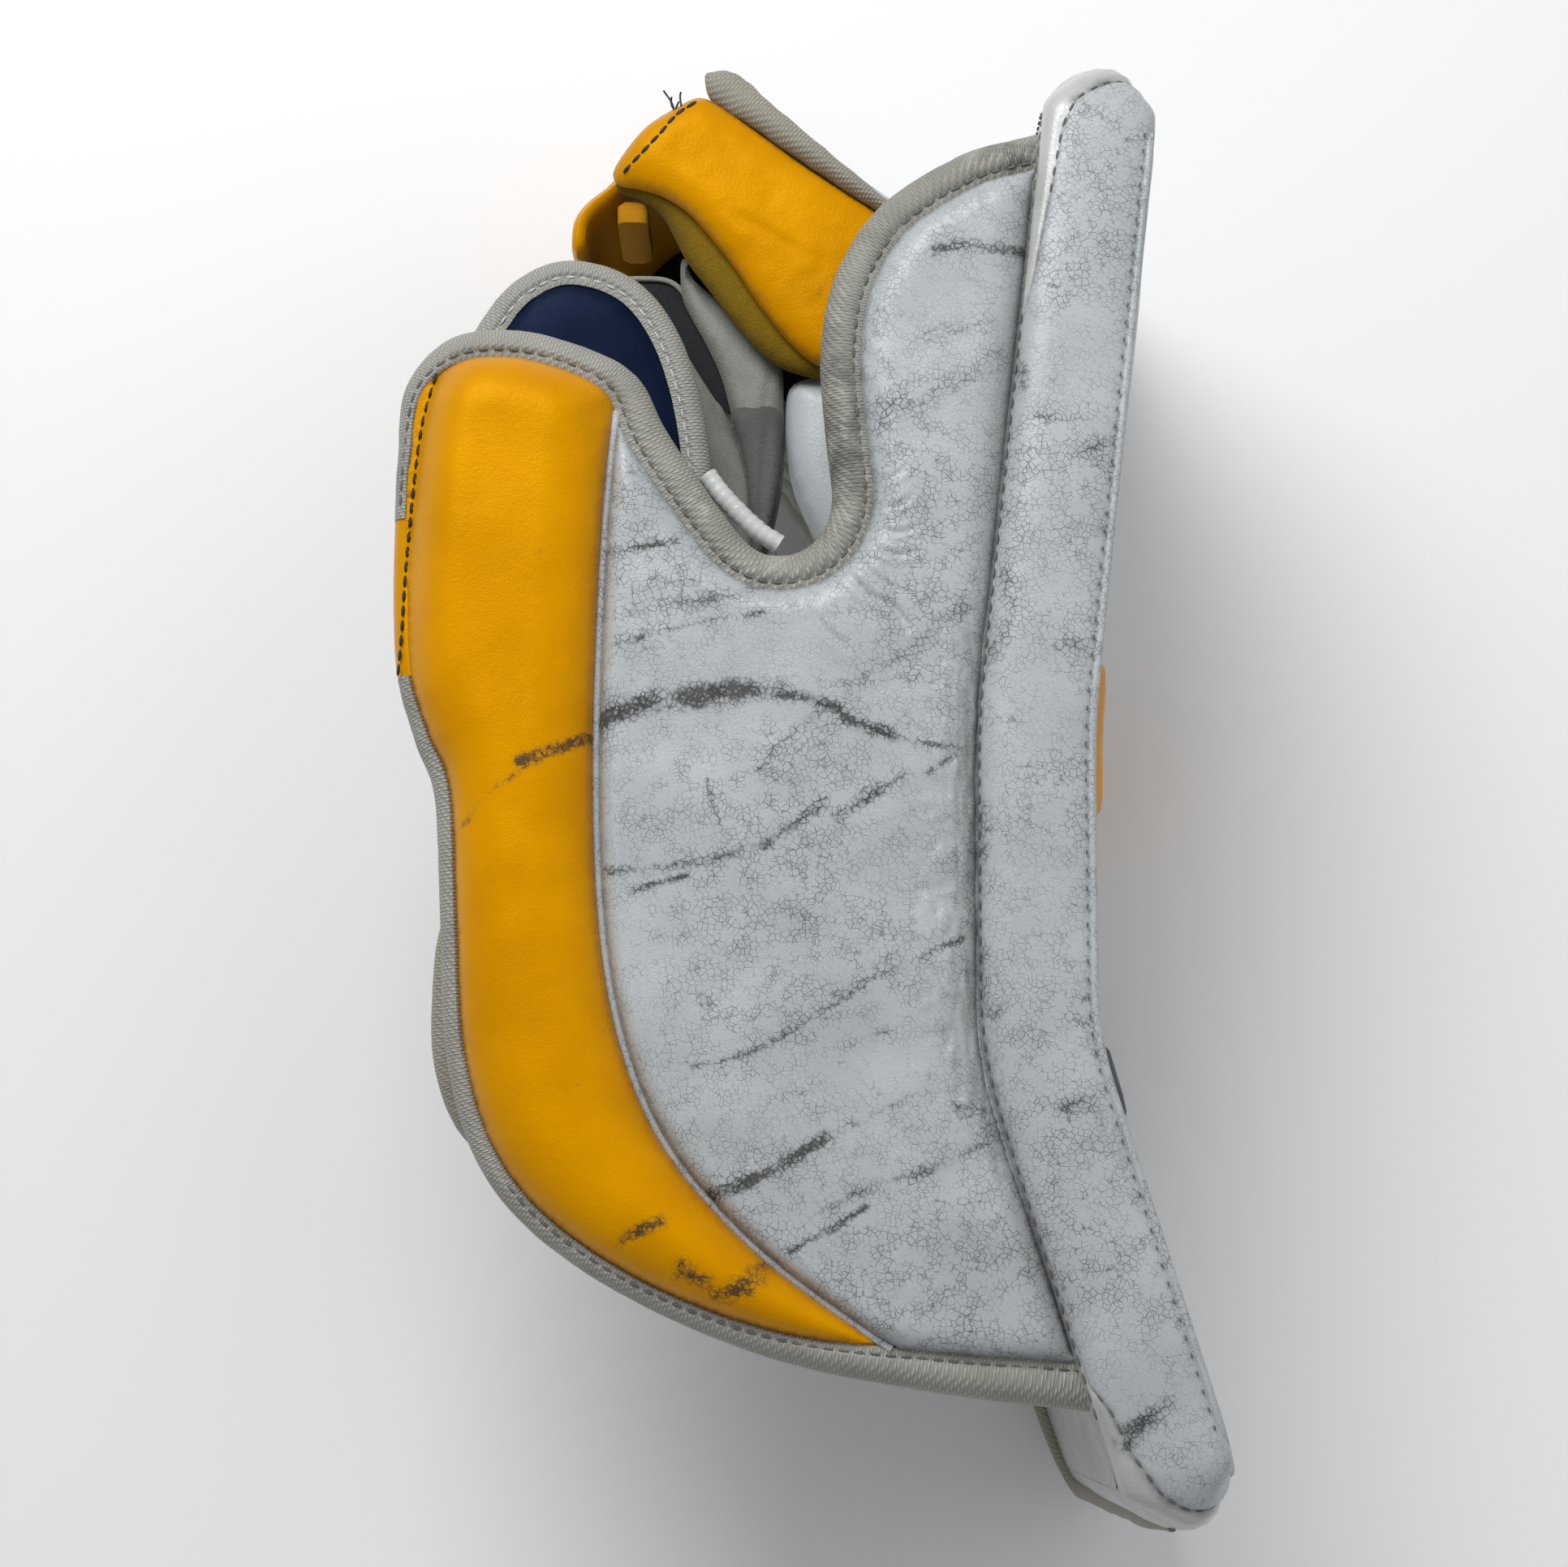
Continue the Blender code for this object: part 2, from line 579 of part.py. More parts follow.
def build_hand():
    """Pad, palm shell with its gusset and patch, and the four finger stalls."""
    sheet = board_slice(-BOARD_HALF - GAP - 1.5, -BOARD_HALF - GAP, low=-70, high=74)
    prism("pad_loop_sheet", sheet, HAND_LOW + 4, HAND_HIGH - 4, "black_fabric")
    back = -BOARD_HALF - GAP * 2 - 1.5
    prism("hand_back_pad", board_slice(back - PAD_DEPTH, back, low=-74, high=76), HAND_LOW, HAND_HIGH, "black_fabric")
    room = prism("cutter_pad_room", board_slice(back - PAD_DEPTH - GAP, 60), 0, BOARD_WIDTH)
    inner_x, inner_z = PALM_FACE + PALM_WALL, HAND_LOW + PALM_WALL
    bend = 14.0
    outer = arc((PALM_FACE + bend, HAND_LOW + bend), bend, 180, 270, 5)
    inner = arc((PALM_FACE + bend, HAND_LOW + bend), bend - PALM_WALL, 270, 180, 5)
    shell = ([Vector((PALM_FACE, HAND_HIGH))] + outer + [Vector((-5, HAND_LOW)), Vector((-5, inner_z))]
             + inner + [Vector((inner_x, HAND_HIGH))])
    cut(prism("glove_palm", shell, PALM_CUFF, PALM_KNUCKLE, "grey_suede", axis="Y"), room)
    gusset = rounded_rectangle((PALM_FACE, PALM_CUFF), (-5, 8), 6)
    cut(prism("thumb_gusset", gusset, HAND_HIGH + GAP, HAND_HIGH + 2.3, "grey_suede"), room)
    patch = rounded_rectangle((-34, HAND_LOW + 18), (58, HAND_HIGH - 12), 14)
    prism("palm_patch", patch, PALM_FACE - GAP - 1.4, PALM_FACE - GAP, "grey_suede", axis="X")
    loop_patch = rounded_rectangle((-74, HAND_LOW + 16), (-44, HAND_LOW + 66), 3)
    prism("strap_loop_patch", loop_patch, PALM_FACE - GAP - 1.2, PALM_FACE - GAP, "black_fabric", axis="X")
    pad = rounded_rectangle((-66, 72), (-40, 124), 12)
    prism("index_knuckle_pad", pad, 132, 142.5, "white_leather")
    for k, name in enumerate(FINGER_NAMES):
        build_finger(f"finger_stall_{name}", FINGER_FIRST + k * FINGER_PITCH)
        hang(f"finger_axis_{name}", (*KNUCKLE, FINGER_FIRST + k * FINGER_PITCH + FINGER_DEPTH / 2),
             (f"finger_stall_{name}",))


def finger_loop(path, half):
    """The outline of a bent finger: two sides and a round tip."""
    left, right = offset(path, half), offset(path, -half)
    heading = (path[-1] - path[-2]).normalized()
    angle = math.degrees(math.atan2(heading.y, heading.x))
    return right + arc(path[-1], half, angle - 90, angle + 90, 6)[1:-1] + left[::-1]


def build_finger(name, low):
    """One hollow stall, open towards the palm."""
    path = smooth(FINGER_PATH, steps=2)
    stall = prism(name, finger_loop(path, FINGER_HALF), low, low + FINGER_DEPTH, "grey_suede")
    inside = [path[0] - Vector((0, 20))] + path[1:]
    room = finger_loop(inside, FINGER_HALF - STALL_WALL)
    cut(stall, prism("cutter_" + name, room, low + STALL_WALL, low + FINGER_DEPTH - STALL_WALL))


def build_strap():
    """The wrist strap, sewn on at the sidewall, with its hook patch."""
    face = PALM_FACE - 3.2
    strap = rounded_rectangle((-76, HAND_LOW + 8), (-42, STRAP_PIVOT[2] + 1.5), 5)
    prism("wrist_strap", strap, face - 2.6, face, "black_fabric", axis="X")
    hook = rounded_rectangle((-73, HAND_LOW + 14), (-45, HAND_LOW + 60), 3)
    prism("strap_hook_patch", hook, face + GAP, face + GAP + 1.1, "black_fabric", axis="X")
    hang("wrist_strap_axis", STRAP_PIVOT, ("wrist_strap", "strap_hook_patch"))


def build_pinky_guard():
    """The padded flap along the little finger, which also steadies the blocker where it rests."""
    outline = smooth(((-16, 70), (-40, 68), (-58, 56), (-66, 36), (-68, 0), (-67, -36), (-60, -60), (-42, -74),
                      (-14, -78)), steps=3)
    inner = offset(outline, 8)
    room = prism("cutter_pinky", board_slice(-BOARD_HALF - GAP, 80), -20, BOARD_WIDTH)
    cut(prism("pinky_guard_binding", outline + inner[::-1], 0.0, 11.5, "grey_binding"), room)
    body = offset(outline, 8 + GAP) + [Vector((10, -70)), Vector((10, 62))]
    cut(prism("pinky_guard_pad", body, 0.0, 13.5, "white_leather"), room)


for old in list(bpy.data.objects):
    bpy.data.objects.remove(old)
PARTS = new_collection("goalie_blocker")
CUTTERS = new_collection("cutters")
build_board()
build_cuff_binding()
build_sidewall()
build_wrist_pad()
build_thumb_guard()
build_finger_guard()
build_hand()
build_strap()
build_pinky_guard()
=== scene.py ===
"""The looks of an ice hockey goalie blocker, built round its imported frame.

+X is the way the blocking face looks, +Y runs to the finger end and +Z to the thumb side.
Shapes are drawn in millimetres, and become metres when a mesh is made.
"""

import json
import logging
import math
from dataclasses import dataclass, field
from enum import Enum
from typing import Callable, Optional, Sequence, Union

import bmesh
import bpy
import numpy as np
from mathutils import Matrix, Vector, noise
from mathutils.geometry import delaunay_2d_cdt

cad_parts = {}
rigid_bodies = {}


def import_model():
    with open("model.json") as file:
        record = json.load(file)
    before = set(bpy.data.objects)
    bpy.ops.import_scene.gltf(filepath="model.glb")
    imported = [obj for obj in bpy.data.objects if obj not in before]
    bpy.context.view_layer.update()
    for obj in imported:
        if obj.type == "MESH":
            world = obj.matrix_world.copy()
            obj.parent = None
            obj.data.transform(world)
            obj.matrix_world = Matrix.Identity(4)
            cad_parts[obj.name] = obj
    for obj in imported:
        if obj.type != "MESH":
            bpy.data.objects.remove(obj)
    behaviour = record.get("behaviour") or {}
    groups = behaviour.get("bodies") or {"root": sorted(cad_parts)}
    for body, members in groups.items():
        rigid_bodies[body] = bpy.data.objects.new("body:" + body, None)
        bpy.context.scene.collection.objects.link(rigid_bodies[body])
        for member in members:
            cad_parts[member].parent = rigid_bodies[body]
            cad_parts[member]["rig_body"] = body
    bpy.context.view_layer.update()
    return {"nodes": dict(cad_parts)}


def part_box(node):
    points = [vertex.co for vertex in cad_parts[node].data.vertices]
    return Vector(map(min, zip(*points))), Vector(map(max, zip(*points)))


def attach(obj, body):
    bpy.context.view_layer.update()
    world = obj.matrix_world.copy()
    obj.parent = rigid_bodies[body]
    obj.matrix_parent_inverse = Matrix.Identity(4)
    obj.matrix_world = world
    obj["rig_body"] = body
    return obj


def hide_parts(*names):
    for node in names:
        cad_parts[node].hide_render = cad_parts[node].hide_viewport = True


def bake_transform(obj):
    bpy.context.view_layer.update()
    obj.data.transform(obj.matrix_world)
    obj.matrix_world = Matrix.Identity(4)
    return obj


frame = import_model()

LOG = logging.getLogger("blocker")
MM = 0.001
Array = np.ndarray
Points = Sequence[Sequence[float]]


# ---------------------------------------------------------------- curves

def smooth(points: Points, closed: bool = False, steps: int = 6) -> Array:
    """A Catmull-Rom curve through the given points.

    Args:
        points: The points, of any dimension.
        closed: Whether the curve comes back to its start.
        steps: Points made for each span.

    Returns:
        The curve's points, one to a row.
    """
    p = np.asarray(points, float)
    if closed:
        p = np.vstack([p[-1], p, p[:2]])
    else:
        p = np.vstack([2 * p[0] - p[1], p, 2 * p[-1] - p[-2]])
    t = np.linspace(0, 1, steps, endpoint=False)[:, None]
    runs = []
    for a, b, c, d in zip(p, p[1:], p[2:], p[3:]):
        runs.append(0.5 * (2 * b + (c - a) * t + (2 * a - 5 * b + 4 * c - d) * t ** 2
                           + (3 * b - a - 3 * c + d) * t ** 3))
    if not closed:
        runs.append(p[-2][None])
    return np.vstack(runs)


def travel(curve: Array) -> Array:
    """The distance along a curve at each of its points."""
    return np.concatenate([[0.0], np.cumsum(np.linalg.norm(np.diff(curve, axis=0), axis=1))])


def resample(curve: Array, spacing: float, closed: bool = False) -> Array:
    """The same curve with points an even distance apart.

    Args:
        curve: The curve's points.
        spacing: The distance wanted between points.
        closed: Whether the curve comes back to its start.

    Returns:
        The new points. A closed curve's first point is not repeated.
    """
    if closed:
        curve = np.vstack([curve, curve[:1]])
    far = travel(curve)
    count = max(int(round(far[-1] / spacing)), 3)
    at = np.linspace(0, far[-1], count + 1)
    if closed:
        at = at[:-1]
    return np.column_stack([np.interp(at, far, curve[:, k]) for k in range(curve.shape[1])])


def leftward(curve: Array, closed: bool = False) -> Array:
    """The unit normals on the left of a plane curve."""
    if closed:
        ahead = np.roll(curve, -1, axis=0) - np.roll(curve, 1, axis=0)
    else:
        ahead = np.gradient(curve, axis=0)
    ahead = ahead / np.maximum(np.linalg.norm(ahead, axis=1), 1e-9)[:, None]
    return np.column_stack([-ahead[:, 1], ahead[:, 0]])


def offset(curve: Array, distance: Union[float, Array], closed: bool = False) -> Array:
    """A plane curve moved to its left."""
    return curve + leftward(curve, closed) * np.reshape(np.broadcast_to(distance, len(curve)), (-1, 1))


def distance_to(points: Array, curve: Array, closed: bool = False) -> Array:
    """The distance from each point to a plane curve."""
    ends = np.roll(curve, -1, axis=0) if closed else curve[1:]
    starts = curve if closed else curve[:-1]
    best = np.full(len(points), 1e9)
    for a, b in zip(starts, ends):
        span = b - a
        t = np.clip(((points - a) @ span) / max(span @ span, 1e-12), 0, 1)
        best = np.minimum(best, np.linalg.norm(points - a - t[:, None] * span, axis=1))
    return best


def inside(points: Array, loop: Array) -> Array:
    """Which points lie inside a closed plane loop."""
    x, y = points[:, 0], points[:, 1]
    within = np.zeros(len(points), bool)
    for (x0, y0), (x1, y1) in zip(loop, np.roll(loop, -1, axis=0)):
        if y0 == y1:
            continue
        crosses = ((y0 > y) != (y1 > y)) & (x < (x1 - x0) * (y - y0) / (y1 - y0) + x0)
        within ^= crosses
    return within


def counter_clockwise(loop: Array) -> Array:
    """The loop, turned so that its inside is on its left."""
    x, y = loop[:, 0], loop[:, 1]
    area = np.sum(x * np.roll(y, -1) - y * np.roll(x, -1))
    return loop if area > 0 else loop[::-1]


def crossing(first: Array, second: Array, last: bool = False) -> tuple[int, int, Array]:
    """Where two plane curves cross.

    Args:
        first: One curve.
        second: The other curve.
        last: Whether the last crossing along the second curve is wanted, and not its first.

    Returns:
        The span of the first curve, the span of the second curve, and the point.
    """
    found = []
    for j, (c, d) in enumerate(zip(second, second[1:])):
        for i, (a, b) in enumerate(zip(first, first[1:])):
            r, s = b - a, d - c
            turn = r[0] * s[1] - r[1] * s[0]
            if abs(turn) < 1e-9:
                continue
            t = ((c - a)[0] * s[1] - (c - a)[1] * s[0]) / turn
            u = ((c - a)[0] * r[1] - (c - a)[1] * r[0]) / turn
            if 0 <= t <= 1 and 0 <= u <= 1:
                found.append((i, j, a + t * r))
    if not found:
        raise ValueError("the curves don't cross")
    return found[-1] if last else found[0]


def clip(loop: Array, point: Sequence[float], normal: Sequence[float]) -> Array:
    """The part of a convex loop on the side of a line that its normal looks to."""
    p, n = np.asarray(point, float), np.asarray(normal, float)
    side = (loop - p) @ n
    kept = []
    for a, b, sa, sb in zip(loop, np.roll(loop, -1, axis=0), side, np.roll(side, -1)):
        if sa >= 0:
            kept.append(a)
        if (sa >= 0) != (sb >= 0):
            kept.append(a + (b - a) * sa / (sa - sb))
    return np.array(kept)


def rounded_rectangle(low: Sequence[float], high: Sequence[float], radius: float, steps: int = 6,
                      last_radius: Optional[float] = None) -> Array:
    """A rectangle's outline with round corners, from its lowest and highest corners.

    Args:
        low: Its lowest corner.
        high: Its highest corner.
        radius: The radius of its corners.
        steps: The steps round a corner.
        last_radius: The radius of its lowest corner, where that differs.

    Returns:
        The outline, counter-clockwise.
    """
    (x0, y0), (x1, y1) = low, high
    loop = []
    for x, y, start in ((x1, y0, -90), (x1, y1, 0), (x0, y1, 90), (x0, y0, 180)):
        r = last_radius if last_radius is not None and start == 180 else radius
        x, y = x + (r if x == x0 else -r), y + (r if y == y0 else -r)
        for k in range(steps + 1):
            a = math.radians(start + 90 * k / steps)
            loop.append((x + r * math.cos(a), y + r * math.sin(a)))
    return np.array(loop)


def ripple(points: Array, size: float, seed: float = 0.0) -> Array:
    """Smooth waves from about -1 to 1, with a given size in millimetres."""
    p = np.asarray(points, float)
    if p.ndim == 1:
        p = p[:, None]
    full = np.zeros((len(p), 3))
    full[:, :p.shape[1]] = p / size
    full[:, 2] += seed * 7.31
    return np.array([noise.noise(Vector(row)) for row in full]) * 1.6


# ---------------------------------------------------------------- surfaces

class Surface:
    """A place that flat patterns are laid on: u and v run along it and h stands out from it."""

    def place(self, uvh: Array) -> Array:
        """Turns pattern positions into positions in space. The flat case is the sidewall's own plane."""
        return uvh


@dataclass(frozen=True)
class RuledSurface(Surface):
    """A line in one plane, drawn out straight along the third direction.

    line: the line's points.
    axes: the directions in space of the line's two coordinates and of v.
    side: which side of the line h stands out to, 1 for its left and -1 for its right.
    start: how far before the line's first point u is zero.
    """

    line: Array
    axes: tuple[int, int, int] = (0, 1, 2)
    side: float = 1.0
    start: float = 0.0

    def place(self, uvh: Array) -> Array:
        """Turns pattern positions into positions in space."""
        line = resample(self.line, 1.0)
        far = travel(line)
        normals = leftward(line) * self.side
        u = uvh[:, 0] - self.start
        held = np.clip(u, 0, far[-1])
        spot = np.column_stack([np.interp(held, far, line[:, k]) for k in (0, 1)])
        normal = np.column_stack([np.interp(held, far, normals[:, k]) for k in (0, 1)])
        normal /= np.linalg.norm(normal, axis=1)[:, None]
        ahead = np.column_stack([normal[:, 1], -normal[:, 0]]) * self.side
        spot = spot + ahead * (u - held)[:, None] + normal * uvh[:, 2:3]
        placed = np.zeros_like(uvh)
        placed[:, list(self.axes)] = np.column_stack([spot, uvh[:, 1]])
        return placed


FLAT = Surface()


def raised(line: Array, height: Union[float, Array], surface: Surface = FLAT) -> Array:
    """A pattern line at a height over a surface, as positions in space."""
    return surface.place(np.column_stack([line, np.broadcast_to(height, len(line))]))


def ringed(row: Array) -> Array:
    """A row that comes back to its first point."""
    return np.vstack([row, row[:1]])


# ---------------------------------------------------------------- shader maths

def feed(tree: bpy.types.NodeTree, slot: bpy.types.NodeSocket, value: object) -> None:
    """Links a socket to another, or sets its own value. A colour is given without its alpha."""
    if isinstance(value, Shade):
        value = value.socket
    if isinstance(value, bpy.types.NodeSocket):
        tree.links.new(value, slot)
    elif slot.type == "RGBA":
        slot.default_value = (*value, 1.0)
    else:
        slot.default_value = value


def add_object(name: str, data: bpy.types.ID) -> bpy.types.Object:
    """A new object in the scene."""
    made = bpy.data.objects.new(name, data)
    bpy.context.scene.collection.objects.link(made)
    return made


class Shade:
    """A socket in a shader tree, with arithmetic."""

    def __init__(self, tree: bpy.types.NodeTree, socket: bpy.types.NodeSocket) -> None:
        """Keeps the tree and the socket."""
        self.tree, self.socket = tree, socket

    def maths(self, operation: str, *others: Union["Shade", float], first: Optional[float] = None) -> "Shade":
        """Adds a Math node.

        Args:
            operation: The node's operation.
            others: What goes in after this value.
            first: A number that goes in before this value.

        Returns:
            The node's result.
        """
        made = self.tree.nodes.new("ShaderNodeMath")
        made.operation = operation
        values = ([first] if first is not None else []) + [self, *others]
        for slot, value in zip(made.inputs, values):
            feed(self.tree, slot, value)
        return Shade(self.tree, made.outputs[0])

    def __add__(self, other: Union["Shade", float]) -> "Shade":
        """This plus another."""
        return self.maths("ADD", other)

    __radd__ = __add__

    def __sub__(self, other: Union["Shade", float]) -> "Shade":
        """This less another."""
        return self.maths("SUBTRACT", other)

    def __rsub__(self, other: float) -> "Shade":
        """A number less this."""
        return self.maths("SUBTRACT", first=other)

    def __mul__(self, other: Union["Shade", float]) -> "Shade":
        """This times another."""
        return self.maths("MULTIPLY", other)

    __rmul__ = __mul__

    def ramp(self, low: float, high: float, start: float = 0.0, end: float = 1.0) -> "Shade":
        """A smooth step from start to end as this goes from low to high."""
        made = self.tree.nodes.new("ShaderNodeMapRange")
        made.interpolation_type = "SMOOTHSTEP"
        self.tree.links.new(self.socket, made.inputs["Value"])
        for name, value in (("From Min", low), ("From Max", high), ("To Min", start), ("To Max", end)):
            made.inputs[name].default_value = value
        return Shade(self.tree, made.outputs["Result"])


Colour = tuple[float, float, float]


class Palette:
    """Builds one material's tree."""

    def __init__(self, name: str) -> None:
        """Starts a material with a Principled shader."""
        self.material = bpy.data.materials.new(name)
        self.material.use_nodes = True
        self.tree = self.material.node_tree
        self.shader = self.tree.nodes["Principled BSDF"]

    def node(self, kind: str, settings: Optional[dict] = None, out: Union[int, str] = 0,
             **values: object) -> Shade:
        """Adds a node.

        Args:
            kind: The node's type.
            settings: Properties of the node, set before its sockets.
            out: The output wanted.
            values: Values or links of its sockets, by name with _ for a space, or by number after an i.

        Returns:
            The output wanted.
        """
        made = self.tree.nodes.new(kind)
        for key, value in (settings or {}).items():
            setattr(made, key, value)
        for key, value in values.items():
            numbered = key[0] == "i" and key[1:].isdigit()
            feed(self.tree, made.inputs[int(key[1:]) if numbered else key.replace("_", " ")], value)
        return Shade(self.tree, made.outputs[out])

    def place(self) -> Shade:
        """Object coordinates."""
        return self.node("ShaderNodeTexCoord", out="Object")

    def along(self) -> Shade:
        """The piece's own UV map, in metres along and across it."""
        return self.node("ShaderNodeUVMap", {"uv_map": "pattern"}, out="UV")

    def marks(self, name: str) -> Shade:
        """A value painted on the piece's points."""
        return self.node("ShaderNodeAttribute", {"attribute_name": name}, out="Fac")

    def noise(self, where: Shade, scale: float, detail: float = 2.0, rough: float = 0.5) -> Shade:
        """Cloudy noise from 0 to 1."""
        return self.node("ShaderNodeTexNoise", Vector=where, Scale=scale, Detail=detail, Roughness=rough)

    def cells(self, where: Shade, scale: float, feature: str = "DISTANCE_TO_EDGE") -> Shade:
        """The distance in a pattern of cells."""
        return self.node("ShaderNodeTexVoronoi", {"feature": feature}, out="Distance", Vector=where,
                         Scale=scale)

    def bend(self, where: Shade, scale: float, amount: float) -> Shade:
        """A position pushed about by noise."""
        push = self.node("ShaderNodeTexNoise", out="Color", Vector=where, Scale=scale, Detail=2.0)
        centred = self.node("ShaderNodeVectorMath", {"operation": "SUBTRACT"}, i0=push, i1=(0.5, 0.5, 0.5))
        scaled = self.node("ShaderNodeVectorMath", {"operation": "MULTIPLY"}, i0=centred, i1=(amount,) * 3)
        return self.node("ShaderNodeVectorMath", {"operation": "ADD"}, i0=where, i1=scaled)

    def mix(self, amount: Union[Shade, float], first: Union[Shade, Colour],
            second: Union[Shade, Colour]) -> Shade:
        """One colour shading into another."""
        return self.node("ShaderNodeMix", {"data_type": "RGBA"}, out=2, i0=amount, i6=first, i7=second)

    def bump(self, height: Shade, depth: float) -> None:
        """Feeds the shader's normal with a height, whose full range is depth in metres."""
        self.set(Normal=self.node("ShaderNodeBump", Height=height, Distance=depth, Strength=1.0))

    def set(self, **values: object) -> None:
        """Sets or links the shader's sockets."""
        for key, value in values.items():
            feed(self.tree, self.shader.inputs[key.replace("_", " ")], value)


@dataclass(frozen=True)
class Leather:
    """Coated leather: its grain, its crackle and the dark marks rubbed into it.

    crackle: how dark the fine cracks are.
    cell: the size of the cracked cells, in millimetres.
    """

    name: str
    colour: Colour
    shade: Colour
    crackle: float
    roughness: float
    cell: float = 1.7
    crack_colour: Colour = (0.135, 0.145, 0.15)
    mark_colour: Colour = (0.025, 0.027, 0.028)
    depth: float = 0.00012
    coat: float = 0.0
    specular: float = 0.5
    shine: Colour = (1.0, 1.0, 1.0)

    def make(self) -> bpy.types.Material:
        """Builds the material."""
        p = Palette(self.name)
        where = p.place()
        warped = p.bend(where, 330.0, 0.0017)
        cracks = p.cells(warped, 1000.0 / self.cell)
        fine = p.cells(p.bend(where, 700.0, 0.0008), 2100.0 / self.cell)
        scuff, grime = p.marks("scuff"), p.marks("grime")
        soft = p.noise(where, 21.0, 4.0, 0.62)
        broken = p.noise(where, 190.0, 3.0, 0.62)
        zones = soft.ramp(0.3, 0.7, 0.45, 1.0) + scuff.ramp(0.02, 0.5) * 0.5
        hair = cracks.ramp(0.0, 0.075, 1.0, 0.0) * broken.ramp(0.3, 0.55)
        threads = fine.ramp(0.0, 0.09, 1.0, 0.0) * broken.ramp(0.45, 0.66)
        lines = (hair * 0.95 + threads * 0.6) * zones * self.crackle
        speck = p.noise(where, 1250.0, 3.0, 0.72)
        blotch = p.noise(where, 240.0, 3.0, 0.7)
        web = cracks.ramp(0.0, 0.3, 1.0, 0.0) * 0.4 + fine.ramp(0.0, 0.3, 1.0, 0.0) * 0.35
        rubbed = (scuff * (speck * 1.1 + blotch * 0.8 + web - 0.5)).ramp(0.14, 0.85)
        tone = p.noise(where, 30.0, 4.0, 0.6).ramp(0.3, 0.7)
        base = p.mix(tone, self.colour, self.shade)
        cloudy = p.mix((scuff * 0.55 + soft.ramp(0.5, 0.8) * 0.16) * self.crackle, base,
                       tuple(0.5 * c for c in self.colour))
        lined = p.mix(lines.ramp(0.0, 1.0), cloudy, self.crack_colour)
        dirt = (grime * (blotch * 1.5 + 0.1)).ramp(0.2, 1.1)
        dirty = p.mix(dirt * 0.85, lined, tuple(0.22 * c + 0.01 for c in self.colour))
        p.set(Base_Color=p.mix(rubbed * 0.9, dirty, self.mark_colour))
        grain = p.cells(where, 1500.0, "F1")
        pores = p.noise(where, 620.0, 3.0, 0.6)
        height = grain * 0.35 + pores * 0.6 - lines * 0.9
        p.bump(height, self.depth)
        p.set(Roughness=pores * 0.16 + rubbed * 0.25 + (self.roughness - 0.08))
        p.set(Coat_Weight=self.coat, Coat_Roughness=0.25, Specular_IOR_Level=self.specular,
              Specular_Tint=self.shine)
        return p.material


@dataclass(frozen=True)
class Tape:
    """Woven edging, ribbed across its length, soiled where hands and pucks rub it, and lightened with a painted
    sheen where it is polished.
    """

    name: str
    colour: Colour
    soil: Colour
    soiling: float = 0.6

    def make(self) -> bpy.types.Material:
        """Builds the material."""
        p = Palette(self.name)
        along = p.along()
        where = p.place()
        ribs = p.node("ShaderNodeTexWave", {"bands_direction": "X"}, out="Fac", Vector=along, Scale=330.0,
                      Distortion=0.9, Detail=1.0, Detail_Scale=2.0)
        picks = p.node("ShaderNodeTexWave", {"bands_direction": "DIAGONAL"}, out="Fac", Vector=along,
                       Scale=250.0, Distortion=0.7)
        weave = ribs * picks
        stains = p.noise(where, 48.0, 5.0, 0.7) * 1.0 + p.marks("grime") * 0.42
        soiled = stains.ramp(0.48, 0.9) * self.soiling
        worn = p.noise(where, 300.0, 3.0, 0.7)
        # Polished patches are less rough, and their colour is lightened towards a painted sheen.
        polish_and_painted_sheen = (p.noise(where, 70.0, 3.0, 0.6) * 0.8 + p.marks("grime") * 0.3).ramp(0.45, 0.85)
        cloth = p.mix(weave.ramp(0.1, 0.75), tuple(c * 0.55 for c in self.colour), self.colour)
        painted_sheen = p.mix(polish_and_painted_sheen.ramp(0.4, 1.0) * 0.5, cloth, tuple(min(1.0, c * 1.7) for c in self.colour))
        dirty = p.mix(soiled * (worn * 0.8 + 0.55), painted_sheen, self.soil)
        black = (p.noise(where, 85.0, 4.0, 0.7) * p.marks("grime")).ramp(0.38, 0.62) * self.soiling
        p.set(Base_Color=p.mix(black * (weave * -0.6 + 1.1), dirty, (0.025, 0.026, 0.026)))
        p.bump(weave + worn * 0.35, 0.00035)
        p.set(Roughness=0.68 - polish_and_painted_sheen * 0.4, Specular_IOR_Level=0.6, Sheen_Weight=0.1)
        return p.material


@dataclass(frozen=True)
class Cloth:
    """Soft cloth, suede or knit, with a small or large weave."""

    name: str
    colour: Colour
    shade: Colour
    thread: float
    fuzz: float = 0.3
    stains: float = 0.3

    def make(self) -> bpy.types.Material:
        """Builds the material."""
        p = Palette(self.name)
        where = p.place()
        weave = p.cells(where, 1000.0 / self.thread, "F1")
        nap = p.noise(where, 420.0, 4.0, 0.7)
        worn = p.noise(where, 38.0, 4.0, 0.65)
        cloth = p.mix(weave.ramp(0.1, 0.6) * 0.6 + nap * 0.4, self.colour, self.shade)
        dirty = (worn + p.marks("grime") * 0.4).ramp(0.45, 0.85) * self.stains
        p.set(Base_Color=p.mix(dirty, cloth, tuple(c * 0.35 for c in self.colour)))
        p.bump(weave * 0.6 + nap * 0.6, 0.00025)
        p.set(Roughness=0.86 + nap * 0.1, Sheen_Weight=self.fuzz, Specular_IOR_Level=0.3)
        return p.material


